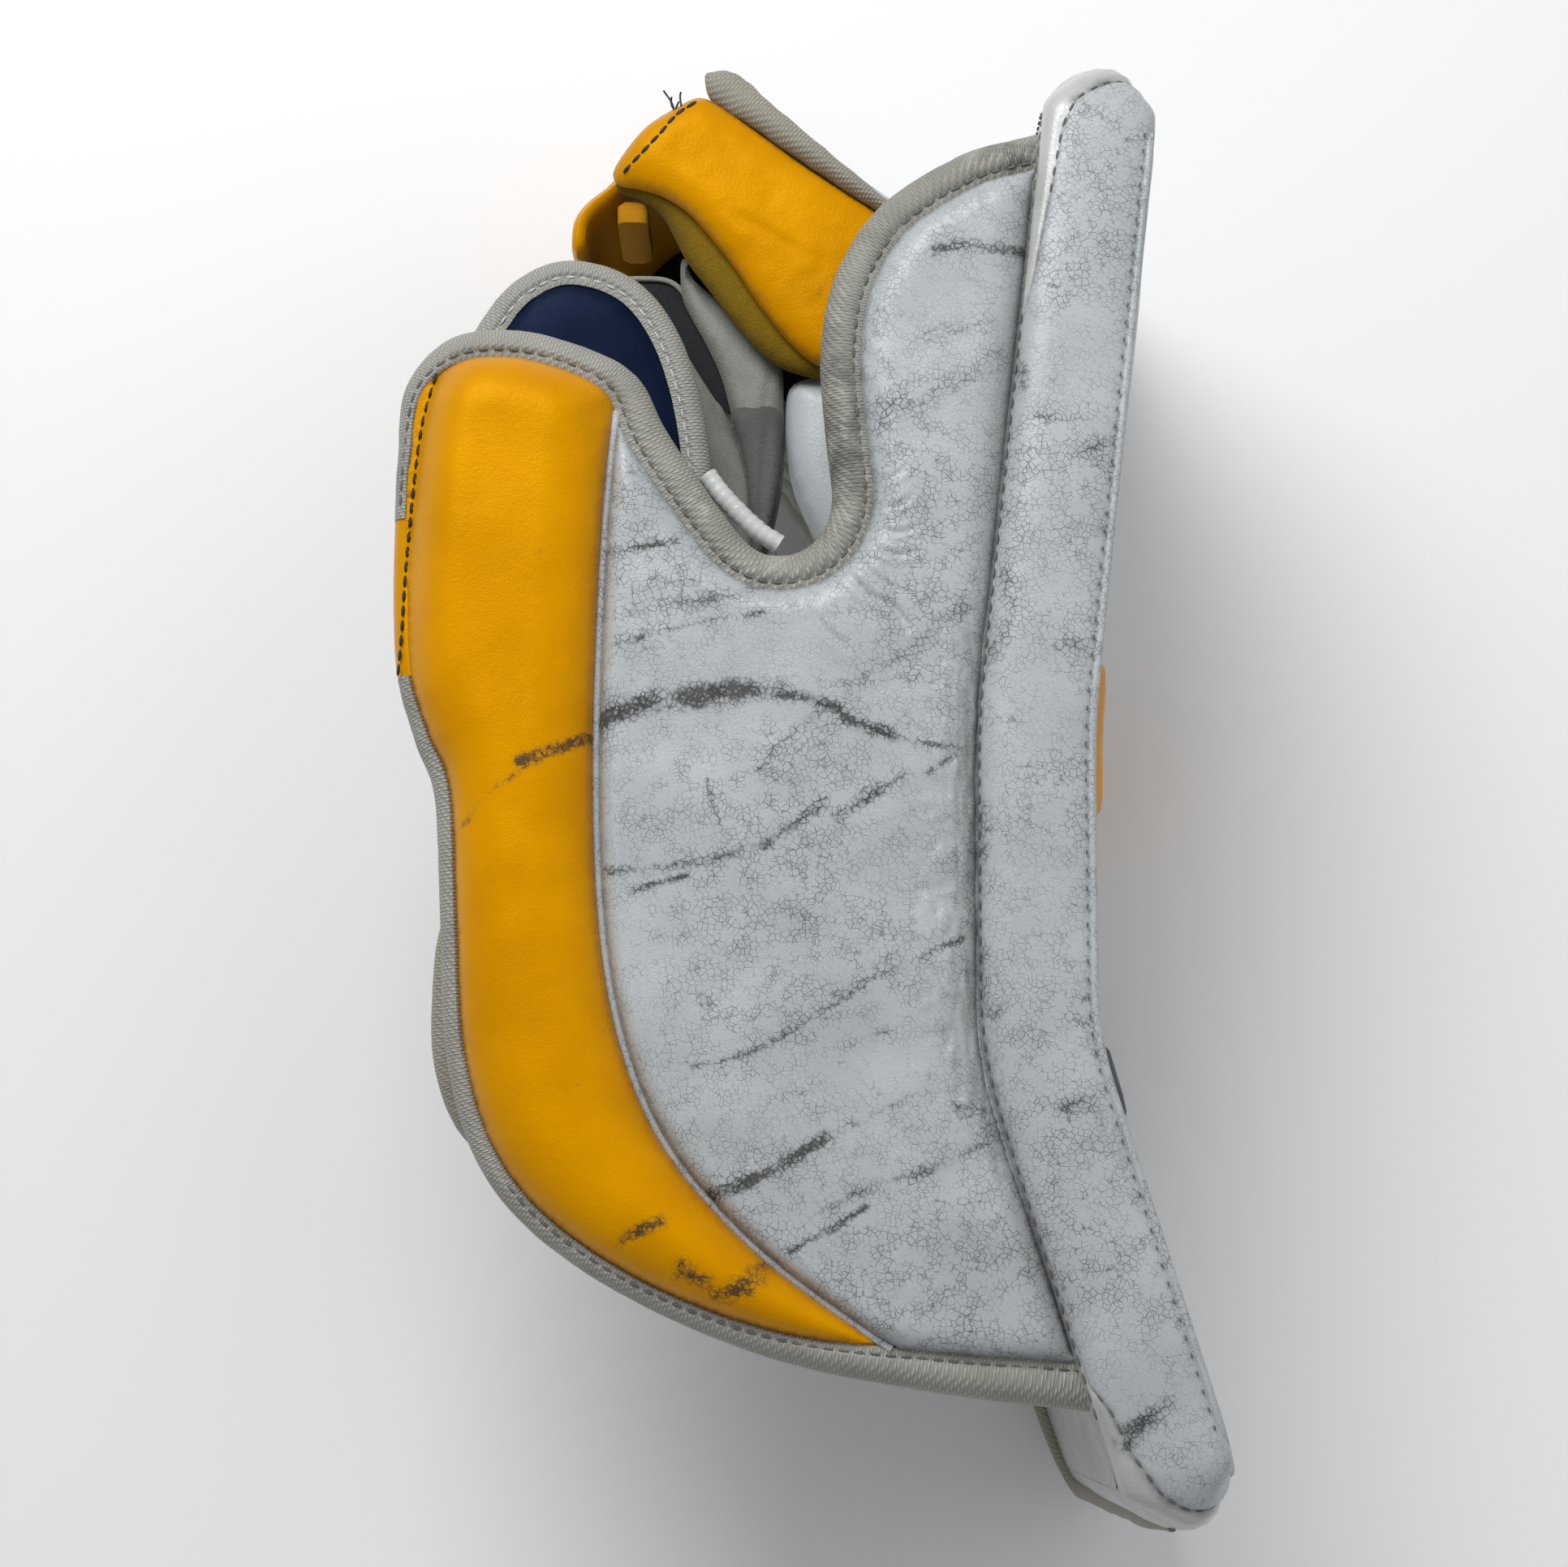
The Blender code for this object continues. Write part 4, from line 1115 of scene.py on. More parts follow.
@dataclass
class Board:
    """The padded board: a banana-shaped slab with a band round its edge and panels on its face.

    The bends are radii and angles. corner and worn_corner are the radii of its corners, the worn one being at
    the cuff, on the floor. side_depth is how far the band stands out along the long edges, and squareness is
    how square its section is there. step is the distance between the band's rings, and lit_depth is how deep
    from the thumb side the band is scuffed. The seams give the height of the seam between white and glossy
    leather, at distances from either end.
    """

    width: float = 203.0
    half: float = 15.0
    waist: tuple[float, float] = (-1.0, -22.0)
    waist_half: float = 27.5
    finger_bend: tuple[float, float] = (250.0, 6.4)
    finger_reach: float = 181.0
    cuff_bend: tuple[float, float] = (100.0, 17.2)
    cuff_reach: float = 129.0
    corner: float = 20.0
    worn_corner: float = 26.0
    side_depth: float = 7.4
    squareness: float = 3.1
    step: float = 1.4
    lit_depth: float = 12.0
    cuff_seam: Points = ((0, 11.5), (1.5, 9.6), (3, 4.5), (6.5, -2.3), (11, -5.5), (24, -10), (36, -12),
                         (43, -14.8), (75, -14.95))
    finger_seam: Points = ((0, 11.5), (2, 9.0), (5, 4.0), (8, -0.8), (13.6, -7.1), (22, -10), (42, -11.5),
                           (64, -13.4), (73.5, -14.9))
    body: str = "board"
    line: Array = field(init=False)
    surface: RuledSurface = field(init=False)

    def __post_init__(self) -> None:
        """Draws the board's middle line."""
        runs = []
        for (radius, tilt), reach, way in ((self.finger_bend, self.finger_reach, 1),
                                           (self.cuff_bend, self.cuff_reach, -1)):
            a = np.radians(np.linspace(0, tilt, 12))
            base = np.array([self.waist[0], self.waist[1] + way * self.waist_half])
            bend = base + np.column_stack([radius * (1 - np.cos(a)), way * radius * np.sin(a)])
            heading = np.array([math.sin(a[-1]), way * math.cos(a[-1])])
            runs.append(np.vstack([bend, bend[-1] + heading * (reach - radius * a[-1])]))
        finger_run, cuff_run = runs
        self.line = np.vstack([cuff_run[::-1], finger_run])
        self.surface = RuledSurface(self.line, side=-1.0, start=-(self.waist_half + self.cuff_reach))

    @property
    def ends(self) -> tuple[float, float]:
        """How far the board reaches from its waist, past its round ends."""
        return -(self.waist_half + self.cuff_reach + self.half), self.waist_half + self.finger_reach + self.half

    def outline(self, inset: float, end_inset: Optional[float] = None) -> Array:
        """The board's outline in its own pattern, drawn in from its long edges and from its ends."""
        end_inset = inset if end_inset is None else end_inset
        low, high = self.ends
        radius = max(self.corner - min(inset, end_inset), 6.0)
        worn = max(self.worn_corner - min(inset, end_inset), 6.0)
        far_corner = (high - end_inset, self.width - inset)
        return rounded_rectangle((low + end_inset, inset), far_corner, radius, 10, worn)

    def roundness(self, loop: Array) -> Array:
        """0 on the long edges, and 1 round the ends."""
        low, high = self.ends
        into = np.minimum(loop[:, 0] - low, high - loop[:, 0])
        t = np.clip((self.corner * 0.75 - into) / (self.corner * 0.6), 0, 1)
        return t * t * (3 - 2 * t)

    def build_band(self) -> None:
        """The band that wraps the board's edge, its glossy ends, and the seam between the two."""
        loop = resample(self.outline(0.0), self.step, True)
        normals = leftward(loop, True)
        rounding = self.roundness(loop)
        low, high = self.ends
        into = np.minimum(loop[:, 0] - low, high - loop[:, 0])
        known, finger = np.array(self.cuff_seam), np.array(self.finger_seam)
        seam_h = np.where(loop[:, 0] < 0, np.interp(into, known[:, 0], known[:, 1]),
                          np.interp(into, finger[:, 0], finger[:, 1]))
        far = travel(loop)
        rows, seam = [], []
        front, behind = 22, 9
        for k, (point, normal, e) in enumerate(zip(loop, normals, rounding)):
            power = self.squareness + (2.0 - self.squareness) * e
            depth = self.side_depth + (self.half - self.side_depth) * e
            turn = math.asin(np.sign(seam_h[k]) * (abs(seam_h[k]) / self.half) ** (power / 2))
            angles = np.concatenate([np.linspace(math.pi / 2, turn, front + 1),
                                     np.linspace(turn, -math.pi / 2, behind + 1)[1:]])
            slack = 0.45 * e * (point[0] < 0)
            bent = 2 / np.where(angles < 0, power - slack, power)
            h = self.half * np.sign(np.sin(angles)) * np.abs(np.sin(angles)) ** bent
            a = depth * (1 - np.abs(np.cos(angles)) ** bent)
            puff = 0.5 * math.sin(far[k] / 31.0) + 0.3 * math.sin(far[k] / 11.3)
            a = a + puff * np.cos(angles) ** 2 * 0.6 + 0.3
            groove = np.exp(-((angles - turn) / 0.09) ** 2)
            lip = 0.9 * e * np.exp(-((angles - turn + 0.5) / 0.35) ** 2)
            a = a + 0.9 * groove * (0.35 + 0.65 * e) - lip * np.abs(np.cos(angles))
            h = h * (1 - 0.04 * groove)
            inner = [(depth + 1.2, -self.half + 1.8), (depth + 1.2, self.half - 1.8)]
            section = np.vstack([np.column_stack([a, h]), inner])
            rows.append(np.column_stack([point + normal * section[:, :1], section[:, 1]]))
            seam.append(rows[-1][front])
        sides = len(rows[0])
        faces, _ = ring_faces(len(rows), sides, True)
        placed = self.surface.place(np.vstack(rows))
        lit = placed[:, 2] > self.width - self.lit_depth
        marks = np.zeros(len(placed))
        for scuff in BAND_SCUFFS:
            marks[lit] = np.maximum(marks[lit], scuff.on(placed[lit, :2]))
        spot = np.tile(np.arange(sides), len(rows))
        grime = np.exp(-(np.abs(spot - front) / 1.3)) * 0.95
        glossy = [i for i in range(len(faces)) if front <= i % sides < front + behind]
        make_piece("board_band", placed, faces, Finish.WHITE, self.body, ("board_edge_band",),
                   paint={"scuff": marks, "grime": grime}, second=(Finish.GLOSS_WHITE, glossy))
        line = np.array(seam)
        shown = np.nonzero((into < 40) & (into > 0.8))[0]
        runs = [run for run in np.split(shown, np.nonzero(np.diff(shown) > 1)[0] + 1) if len(run) > 8]
        lines = []
        for run in runs:
            row = line[run].copy()
            row[:, :2] -= normals[run] * 0.25
            lines.append(self.surface.place(row))
        StitchRow("end_seam_stitches", lines, Finish.GREY_THREAD, self.body, 4.6, 2.6, 0.34).build()

    def build_face(self) -> None:
        """Five padded panels, parted by slanting seams, with a welt round them."""
        inner = self.outline(self.side_depth + 1.4, self.half + 1.0)
        seams = (None, -70.5, -46, 14, 58.5, None)
        names = [f"face_panel_{place}" for place in ("cuff", "navy", "waist", "yellow", "finger")]
        finishes = (Finish.PANEL_WHITE, Finish.NAVY, Finish.PANEL_WHITE, Finish.YELLOW, Finish.PANEL_WHITE)
        proud = (1.4, 3.0, 1.4, 3.3, 1.4)
        slant = 26.0 / 223.0
        for k, name in enumerate(names):
            loop = inner
            for seam, sign in ((seams[k], 1), (seams[k + 1], -1)):
                if seam is not None:
                    loop = clip(loop, (seam + sign * 0.2, self.width + 10), (sign, sign * slant))
            Pad("padded_" + name, loop, finishes[k], self.body, self.half - 3.6, self.half + 0.1, proud[k],
                self.surface, reach=14.0, spacing=3.0, cad=(name,), seed=k + 4.0, lumps=0.2).build()
        ring = resample(self.outline(3.2, self.half - 4.0), 3.0, True)
        lift = self.half - 1.0 + 0.8 * self.roundness(ring)
        path = raised(ring, lift, self.surface)
        build_tube("face_welt_cord", path, 1.25, Finish.WHITE, self.body, ("face_welt",), 8, True)
        edge = resample(self.outline(1.1, self.half - 6.6), 2.0, True)
        lift = self.half - 2.6 + 0.3 * self.roundness(edge)
        row = raised(edge, lift, self.surface)
        StitchRow("face_seam_stitches", [ringed(row)], Finish.GREY_THREAD, self.body, 4.7, 1.5, 0.3).build()

    def build_back(self) -> None:
        """The back cover, its seam and the cream tape at the cuff."""
        loop = self.outline(self.side_depth + 0.6, self.half + 0.4)
        back = RuledSurface(self.line, side=1.0, start=self.surface.start)
        Pad("back_cover", loop, Finish.GLOSS_WHITE, self.body, self.half - 1.9, self.half - 0.1, 0.25, back,
            reach=8.0, spacing=3.5, cad=("board_back_cover",), lumps=0.12).build()
        low, high = self.ends
        edge = resample(self.outline(self.side_depth - 1.2, self.half - 1.2), 2.0, True)
        taped = low + 34
        edge = np.roll(edge, -int(np.argmax(edge[:, 0] < taped)), axis=0)
        edge = edge[edge[:, 0] > taped]
        shown = raised(edge, -self.half - 0.05, self.surface)
        gaps = np.nonzero(np.linalg.norm(np.diff(shown, axis=0), axis=1) > 8)[0] + 1
        runs = [run for run in np.split(shown, gaps) if len(run) > 3]
        StitchRow("back_seam_stitches", runs, Finish.GREY_THREAD, self.body, 4.6, 3.2, 0.4).build()
        ring = resample(self.outline(0.0), self.step, True)
        inward = leftward(ring, True)
        tape_start = -62
        first = int(np.argmin(np.hypot(ring[:, 0] - tape_start, ring[:, 1])))
        ring, inward = np.roll(ring, -first, axis=0)[::-1], np.roll(inward, -first, axis=0)[::-1]
        stop = int(np.argmax((ring[:, 0] < low + 6) & (ring[:, 1] > self.width - 17)))
        ring, inward = ring[:stop], inward[:stop]
        far = travel(ring) / travel(ring)[-1]
        swing = np.radians(np.interp(far, (0, 0.26, 0.4, 0.62, 0.86, 1), (0, 4, 24, 40, 52, 72)))
        grip = np.interp(far, (0, 0.3, 0.5, 0.8, 1), (16.4, 15.6, 13.6, 12.4, 13.4))
        away = np.interp(far, (0, 0.24, 0.36), (7.0, 7.0, 15.0))
        section = np.column_stack([away - grip * np.sin(swing), -grip * np.cos(swing)])
        path = self.surface.place(np.column_stack([ring + inward * section[:, :1], section[:, 1]]))
        path = resample(path, 1.8)
        left = travel(path)[-1] - travel(path)
        bulge = (3.3 + 0.25 * ripple(path, 14, 3.0)) * np.clip(left / 40, 0.22, 1) ** 0.6
        build_tube("cuff_tape", path, bulge, Finish.CREAM_TAPE, self.body, ("cuff_binding",), 12, flat=0.82)


# ---------------------------------------------------------------- the sidewall

SIDEWALL_SCUFFS = tuple(Scuff(*row) for row in (
    (((-116, 20), (-105, 25), (-91, 27), (-76, 29), (-69, 29)), 3.0, 1.0),
    (((-69, 28), (-57, 26), (-48, 20), (-39, 17)), 1.5, 1.0),
    (((-39, 17), (-28, 14), (-20, 14)), 1.2, 0.5),
    (((-52, 29), (-41, 35), (-35, 39)), 1.3, 0.4),
    (((-54, 30), (-31, 32)), 1.0, 0.4),
    (((-58, 23), (-68, 14), (-73, 8)), 1.2, 0.45),
    (((-114, 66), (-105, 67), (-95, 69)), 1.0, 0.6),
    (((-96, 52), (-84, 54), (-72, 57)), 2.2, 0.45),
    (((-111, 41), (-92, 46), (-69, 50)), 0.9, 0.5),
    (((-32, 40), (-25, 47), (-18, 52)), 2.0, 0.4),
    (((-52, -5), (-45, 1), (-36, 5)), 2.2, 0.65),
    (((-72, -12), (-63, -6), (-56, -1)), 1.6, 0.6),
    (((-113, -19), (-91, -17), (-72, -12)), 1.4, 0.5),
    (((-106, -24), (-92, -20)), 0.8, 0.8),
    (((-29, 7), (-20, 13)), 0.9, 0.6),
    (((-87, 5), (-83, -8)), 0.6, 0.6),
    (((-54, -51), (-39, -45), (-20, -36)), 0.9, 0.55),
    (((-90, -70), (-73, -65), (-58, -56), (-46, -49)), 1.0, 0.6),
    (((-85, -103), (-71, -97), (-56, -88)), 1.7, 0.9),
    (((-56, -88), (-41, -81), (-30, -76)), 1.2, 0.5),
    (((-65, -117), (-54, -111), (-46, -106)), 1.1, 0.8),
    (((-54, -106), (-45, -101), (-26, -95), (-11, -87)), 1.6, 0.5),
    (((-49, -64), (-40, -60)), 2.4, 0.35),
    (((-21, -81), (-13, -81)), 2.6, 0.5),
    (((-17, -87), (-11, -86)), 3.0, 0.45),
    (((-26, 148), (-16, 149), (0, 148)), 1.5, 0.8),
    (((-40, 103), (-27, 110), (-11, 118)), 4.5, 0.42),
    (((-29, 124), (-16, 127), (-11, 128)), 2.5, 0.4),
))
ROLL_SCUFFS = tuple(Scuff(*row) for row in (
    (((-135, 9), (-122, 14), (-116, 17)), 1.6, 1.0),
    (((-144, 64), (-116, 64)), 0.7, 0.4),
    (((-108, -114), (-98, -110)), 1.6, 1.0),
    (((-92, -122), (-83, -127), (-75, -125), (-70, -119)), 3.0, 0.75),
    (((-150, -7), (-144, 0), (-135, 6)), 1.0, 0.5),
    (((-124, -77), (-119, -75)), 0.6, 0.5),
    (((-90, -104), (-87, -102)), 1.4, 0.5),
))
NOTCH_CREASES = tuple(Crease(*row) for row in (
    (((-50, 60), (-44, 54), (-38, 51), (-34, 45)), 0.9, 0.9),
    (((-46, 62), (-40, 57), (-36, 55)), 0.8, 0.6),
    (((-43, 67), (-37, 65), (-32, 66)), 0.8, 0.6),
    (((-42, 72), (-36, 71), (-31, 73)), 0.7, 0.5),
    (((-42, 78), (-37, 78), (-33, 81)), 0.7, 0.45),
    (((-42, 85), (-38, 86), (-34, 89)), 0.7, 0.4),
    (((-60, 53), (-57, 46), (-50, 40)), 1.0, 0.4),
))


@dataclass
class Sidewall:
    """The padded wall on the board's thumb edge: cover, roll, edging, lining and fixings."""

    board: Board
    body: str = "board"
    shape: TapeShape = TapeShape(182.0, 7.0)
    wrap: tuple[int, int] = (19, 21)
    steps: int = 8
    edge_points: Points = (
        (12, 186, 11), (-4, 182, 11), (-20, 177, 11), (-41, 163, 11), (-53, 144, 11), (-57, 122, 11),
        (-55.5, 98, 11), (-54, 81, 11), (-58.5, 71, 11), (-67, 67, 10.5), (-76, 70, 10.5), (-86, 83, 11),
        (-98, 101, 11), (-106, 116, 10), (-120, 124, 9), (-140, 129, 9), (-157, 126, 8.5), (-168, 113, 6),
        (-170, 94, 4.5), (-170.5, 76, 4), (-170.5, 52, 4), (-169, 33, 4), (-164, 16, 4.5), (-159, 2, 5),
        (-157, -30, 5), (-155, -66, 5.5), (-147, -93, 6), (-131, -113, 6), (-103, -131, 6), (-68, -145, 7.5),
        (-28, -153, 10.5), (8, -157.5, 12.3), (22, -159, 12.5),
    )
    seam_points: Points = (
        (-104, 132), (-108, 125), (-113, 90), (-115.5, 45), (-116, 0), (-114, -35), (-109, -62), (-100, -85),
        (-87, -103), (-66, -123), (-27, -150), (-16, -157),
    )
    lace_points: Points = ((-87.4, 90.8, 175.4), (-83.6, 85.6, 175.4), (-78.6, 80.2, 175), (-73.6, 75.6, 174.4),
                           (-68, 72, 173.6))
    stitch_points: Points = ((-159, 118), (-159.8, 113.9), (-161.3, 108.3), (-162.9, 101.7), (-164.1, 92.9),
                             (-165.2, 81.8), (-166.1, 70.9), (-167, 57.7), (-167.6, 44.7), (-168.3, 35))
    edge: Array = field(init=False)
    widths: Array = field(init=False)

    def __post_init__(self) -> None:
        """Draws the outer edge and the edging's width along it."""
        curve = smooth(self.edge_points, steps=self.steps)
        self.edge, self.widths = curve[:, :2], curve[:, 2]

    def board_side(self, low: float, high: float, gap: float) -> Array:
        """The board's back between two heights, from the cuff end up."""
        u = np.linspace(-160, 215, 160)
        line = raised(np.column_stack([u, 0 * u]), -self.board.half - gap, self.board.surface)[:, :2]
        return line[(line[:, 1] > low) & (line[:, 1] < high)]

    def build_edging(self) -> None:
        """Grey edging above and below the stretch that the roll wraps itself."""
        first, last = (k * self.steps for k in self.wrap)
        start, _, spot = crossing(self.edge, self.board_side(100, 200, 0.6))
        upper = np.vstack([spot, self.edge[start + 1:first + 1]])
        upper_widths = self.widths[start:first + 1]
        stop, _, spot = crossing(self.edge, self.board_side(-200, -100, 0.6), True)
        lower = np.vstack([self.edge[last:stop + 1], spot])
        lower_widths = self.widths[last:stop + 2]

        def soiled(curve: Array) -> Array:
            """More dirt round the notch and beside the board, where the same values also raise the tape's
            painted sheen.
            """
            notch = np.exp(-(np.linalg.norm(curve - (-50, 98), axis=1) / 48) ** 2)
            beside = np.exp(-(np.linalg.norm(curve - (0, 180), axis=1) / 45) ** 2)
            return 0.15 + 0.85 * np.maximum(notch, beside)

        build_edging("upper_edging", upper, upper_widths, self.shape, Finish.GREY_TAPE, self.body,
                     ("sidewall_binding_upper",), grime=soiled)
        build_edging("lower_edging", lower, lower_widths, self.shape, Finish.GREY_TAPE, self.body,
                     ("sidewall_binding_lower",), seed=5.0)
        strip = self.edge[first:last + 1]
        build_edging("roll_wrap", strip, self.widths[first:last + 1] + 0.6, TapeShape(181.2, 7.4, 0.1),
                     Finish.YELLOW, self.body, ("roll_edge_strip",), wobble=0.02)
        rows = []
        for curve, widths in ((upper, upper_widths), (lower[len(lower) // 2:], lower_widths[len(lower) // 2:])):
            inner = offset(curve, widths - 2.1)
            heights = [self.shape.thread_height(w - 2.1, w) for w in widths]
            rows.append(raised(inner, heights)[3:-2])
        StitchRow("edging_stitches", rows, Finish.GREY_THREAD, self.body, 4.0, 2.9, 0.4).build()

    def field(self, gap: float) -> tuple[Array, Array, Array, Array]:
        """The stretches that bound the wall's padding.

        Args:
            gap: The room left beside the edging.

        Returns:
            The edge from the board to the roll's seam, the roll's outer edge, the edge from the seam to the
            board, and the seam.
        """
        inner = offset(self.edge, self.widths + gap)
        seam = smooth(self.seam_points)
        top_i, top_j, top = crossing(inner, seam)
        low_i, low_j, low = crossing(inner, seam, True)
        upper = np.vstack([inner[:top_i + 1], top])
        outer = np.vstack([top, inner[top_i + 1:low_i + 1], low])
        lower = np.vstack([low, inner[low_i + 1:]])
        return upper, outer, lower, np.vstack([top, seam[top_j + 1:low_j + 1], low])

    def build_padding(self) -> None:
        """The white cover, the yellow roll, and the piping between them."""
        upper, outer, lower, seam = self.field(-0.4)
        side = self.board_side(-150, 176, 0.2)
        start, _, first = crossing(upper, self.board_side(100, 200, 0.2))
        stop, _, last = crossing(lower, self.board_side(-200, -100, 0.2), True)
        upper = np.vstack([first, upper[start + 1:]])
        lower = np.vstack([lower[:stop + 1], last])
        side = side[(side[:, 1] < first[1] - 2) & (side[:, 1] > last[1] + 2)]
        white_seam = offset(seam, 0.5)
        loop = np.vstack([upper[:-1], white_seam[1:-1], lower[1:], side])
        dip = Scuff(((-14, 40), (-19, 0), (-20, -30), (-18, -60), (-8, -90)), 9.0, 1.0)

        def settle(points: Array) -> Array:
            """A shallow valley beside the board, and puckers along the notch."""
            notch = distance_to(points, upper)
            far = points @ np.array([0.8, 0.6])
            puckers = 0.16 * np.exp(-notch / 4.5) * np.sin(far * 1.35 + 2 * ripple(points, 12, 8.0))
            return puckers - 1.3 * dip.on(points)

        rims = (Rim(upper, 8.5), Rim(white_seam, 5.0), Rim(lower, 7.0), Rim(side, 10.0))
        Pad("white_cover", loop, Finish.WHITE, self.body, 184.6, 187.2, 6.2, rims=rims,
            spacing=0.95, cad=("sidewall_cover",), relief=settle, creases=NOTCH_CREASES,
            scuffs=SIDEWALL_SCUFFS, lumps=0.5, grime=0.75).build()
        yellow_seam = offset(seam, -0.5)
        loop = np.vstack([yellow_seam, outer[::-1][1:-1]])
        sewn = smooth(self.stitch_points)
        shelf = np.vstack([sewn, [(-176, 34), (-176, 118), (-158, 130)]])
        rims = (Rim(yellow_seam, 17.0), Rim(outer, 17.0), Rim(sewn, 12.0))
        Pad("yellow_roll", loop, Finish.YELLOW, self.body, 172.3, 186.8, 13.6, rims=rims, spacing=1.25,
            cad=("roll_cover", "roll_core"), scuffs=ROLL_SCUFFS, lumps=0.35, grime=0.55, shelf=shelf).build()
        build_tube("roll_piping", resample(raised(seam, 187.4), 2.0), 1.25, Finish.WHITE, self.body, sides=8)
        row = raised(resample(sewn[6:], 1.5), 188.7)
        StitchRow("roll_stitches", [row], Finish.BLACK_THREAD, self.body, 3.9, 3.3, 0.5).build()
        beside = self.board_side(-146, 172, 0.9)
        path = resample(raised(beside, 186.4 + 0.6 * ripple(beside, 60, 2.0)), 2.0)
        build_tube("wall_piping", path, 1.15, Finish.WHITE, self.body, sides=8)

    def build_inside(self) -> None:
        """The lining, wrist pad with its edging, and lace that face the hand."""
        upper, outer, lower, _ = self.field(-1.0)
        side = self.board_side(-146, 172, 4.0)
        loop = np.vstack([upper[:-1], outer[:-1], lower])
        loop = loop[(loop[:, 0] < self.board_x(loop[:, 1]) - 1.0)]
        loop = np.vstack([loop, side[(side[:, 1] < loop[0, 1] - 1) & (side[:, 1] > loop[-1, 1] + 1)]])
        Pad("wall_lining", loop, Finish.SUEDE, self.body, 171.2, 173.6, 0.2, reach=6.0, spacing=3.0,
            cad=("sidewall_lining",), under=0.9, lumps=0.1).build()
        outline = rounded_rectangle((-150, -90), (-66, -20), 18)
        Pad("wrist_padding", outline, Finish.SUEDE, self.body, 163.5, 170.6, 0.4, reach=9.0, spacing=2.6,
            cad=("wrist_pad",), under=5.2, lumps=0.1, seed=9.0).build()
        edge = smooth(((-128, -14), (-146, -18), (-154, -31), (-156, -50), (-155, -68), (-148, -84),
                       (-132, -94)))
        edge = offset(edge, -4.5)
        build_edging("wrist_edging", edge, np.full(len(edge), 4.6), TapeShape(164.5, 5.6, 0.6),
                     Finish.CREAM_TAPE, self.body, ("wrist_pad_binding",), seed=7.0)
        lace = resample(smooth(self.lace_points), 0.8)
        fat = 2.7 + 0.12 * np.sin(travel(lace) * 2.6) + 0.1 * ripple(lace, 4, 2.0)
        build_tube("notch_lace", lace, fat, Finish.LACE, self.body, ("thumb_lace",), 14)

    def board_x(self, y: Array) -> Array:
        """Where the board's back is at a height."""
        side = self.board_side(-400, 400, 0.3)
        return np.interp(y, side[:, 1], side[:, 0])

    def build_bolts(self) -> None:
        """Pan-headed bolts with a hex socket in each, on the flange."""
        for k in range(4):
            low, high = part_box(f"flange_bolt_{k + 1}")
            centre = np.array((low + high) / 2) / MM
            build_bolt(f"pan_bolt_{k + 1}", centre, self.out_at(centre[1]), self.body, f"flange_bolt_{k + 1}")

    def out_at(self, y: float) -> Array:
        """The way the board's back looks at a height."""
        side = self.board_side(-400, 400, 0.3)
        normals = leftward(side)
        return np.array([np.interp(y, side[:, 1], normals[:, 0]), np.interp(y, side[:, 1], normals[:, 1]), 0.0])


def build_bolt(name: str, centre: Array, out: Array, body: str, cad: str) -> bpy.types.Object:
    """A low domed bolt head with a hex socket.

    Args:
        name: The piece's name.
        centre: The head's middle.
        out: The way that it looks.
        body: The body it moves with.
        cad: The frame's node that it stands for.

    Returns:
        The piece.
    """
    profile = ((0.0, -1.0), (5.0, -1.0), (5.0, -0.2), (4.4, 0.6), (3.2, 1.0), (2.4, 1.05), (2.2, 0.9),
               (2.1, -0.4), (0.0, -0.4))
    sides = 24
    side = np.cross(out, (0.0, 0.0, 1.0))
    side /= np.linalg.norm(side)
    up = np.cross(side, out)
    vertices, rings = [], []
    for radius, height in profile:
        ring = []
        for k in range(sides if radius else 1):
            a = 2 * math.pi * k / sides
            r = radius * (0.94 + 0.06 * math.cos(6 * a)) if height < 0 < radius < 3 else radius
            vertices.append(centre + out * height + r * (math.cos(a) * side + math.sin(a) * up))
            ring.append(len(vertices) - 1)
        rings.append(ring)
    faces = []
    for a, b in zip(rings, rings[1:]):
        for k in range(sides):
            quad = [a[k % len(a)], a[(k + 1) % len(a)], b[(k + 1) % len(b)], b[k % len(b)]]
            faces.append(list(dict.fromkeys(quad)))
    return make_piece(name, np.array(vertices), faces, Finish.STEEL, body, (cad,), sharp=35)


# ---------------------------------------------------------------- the thumb guard

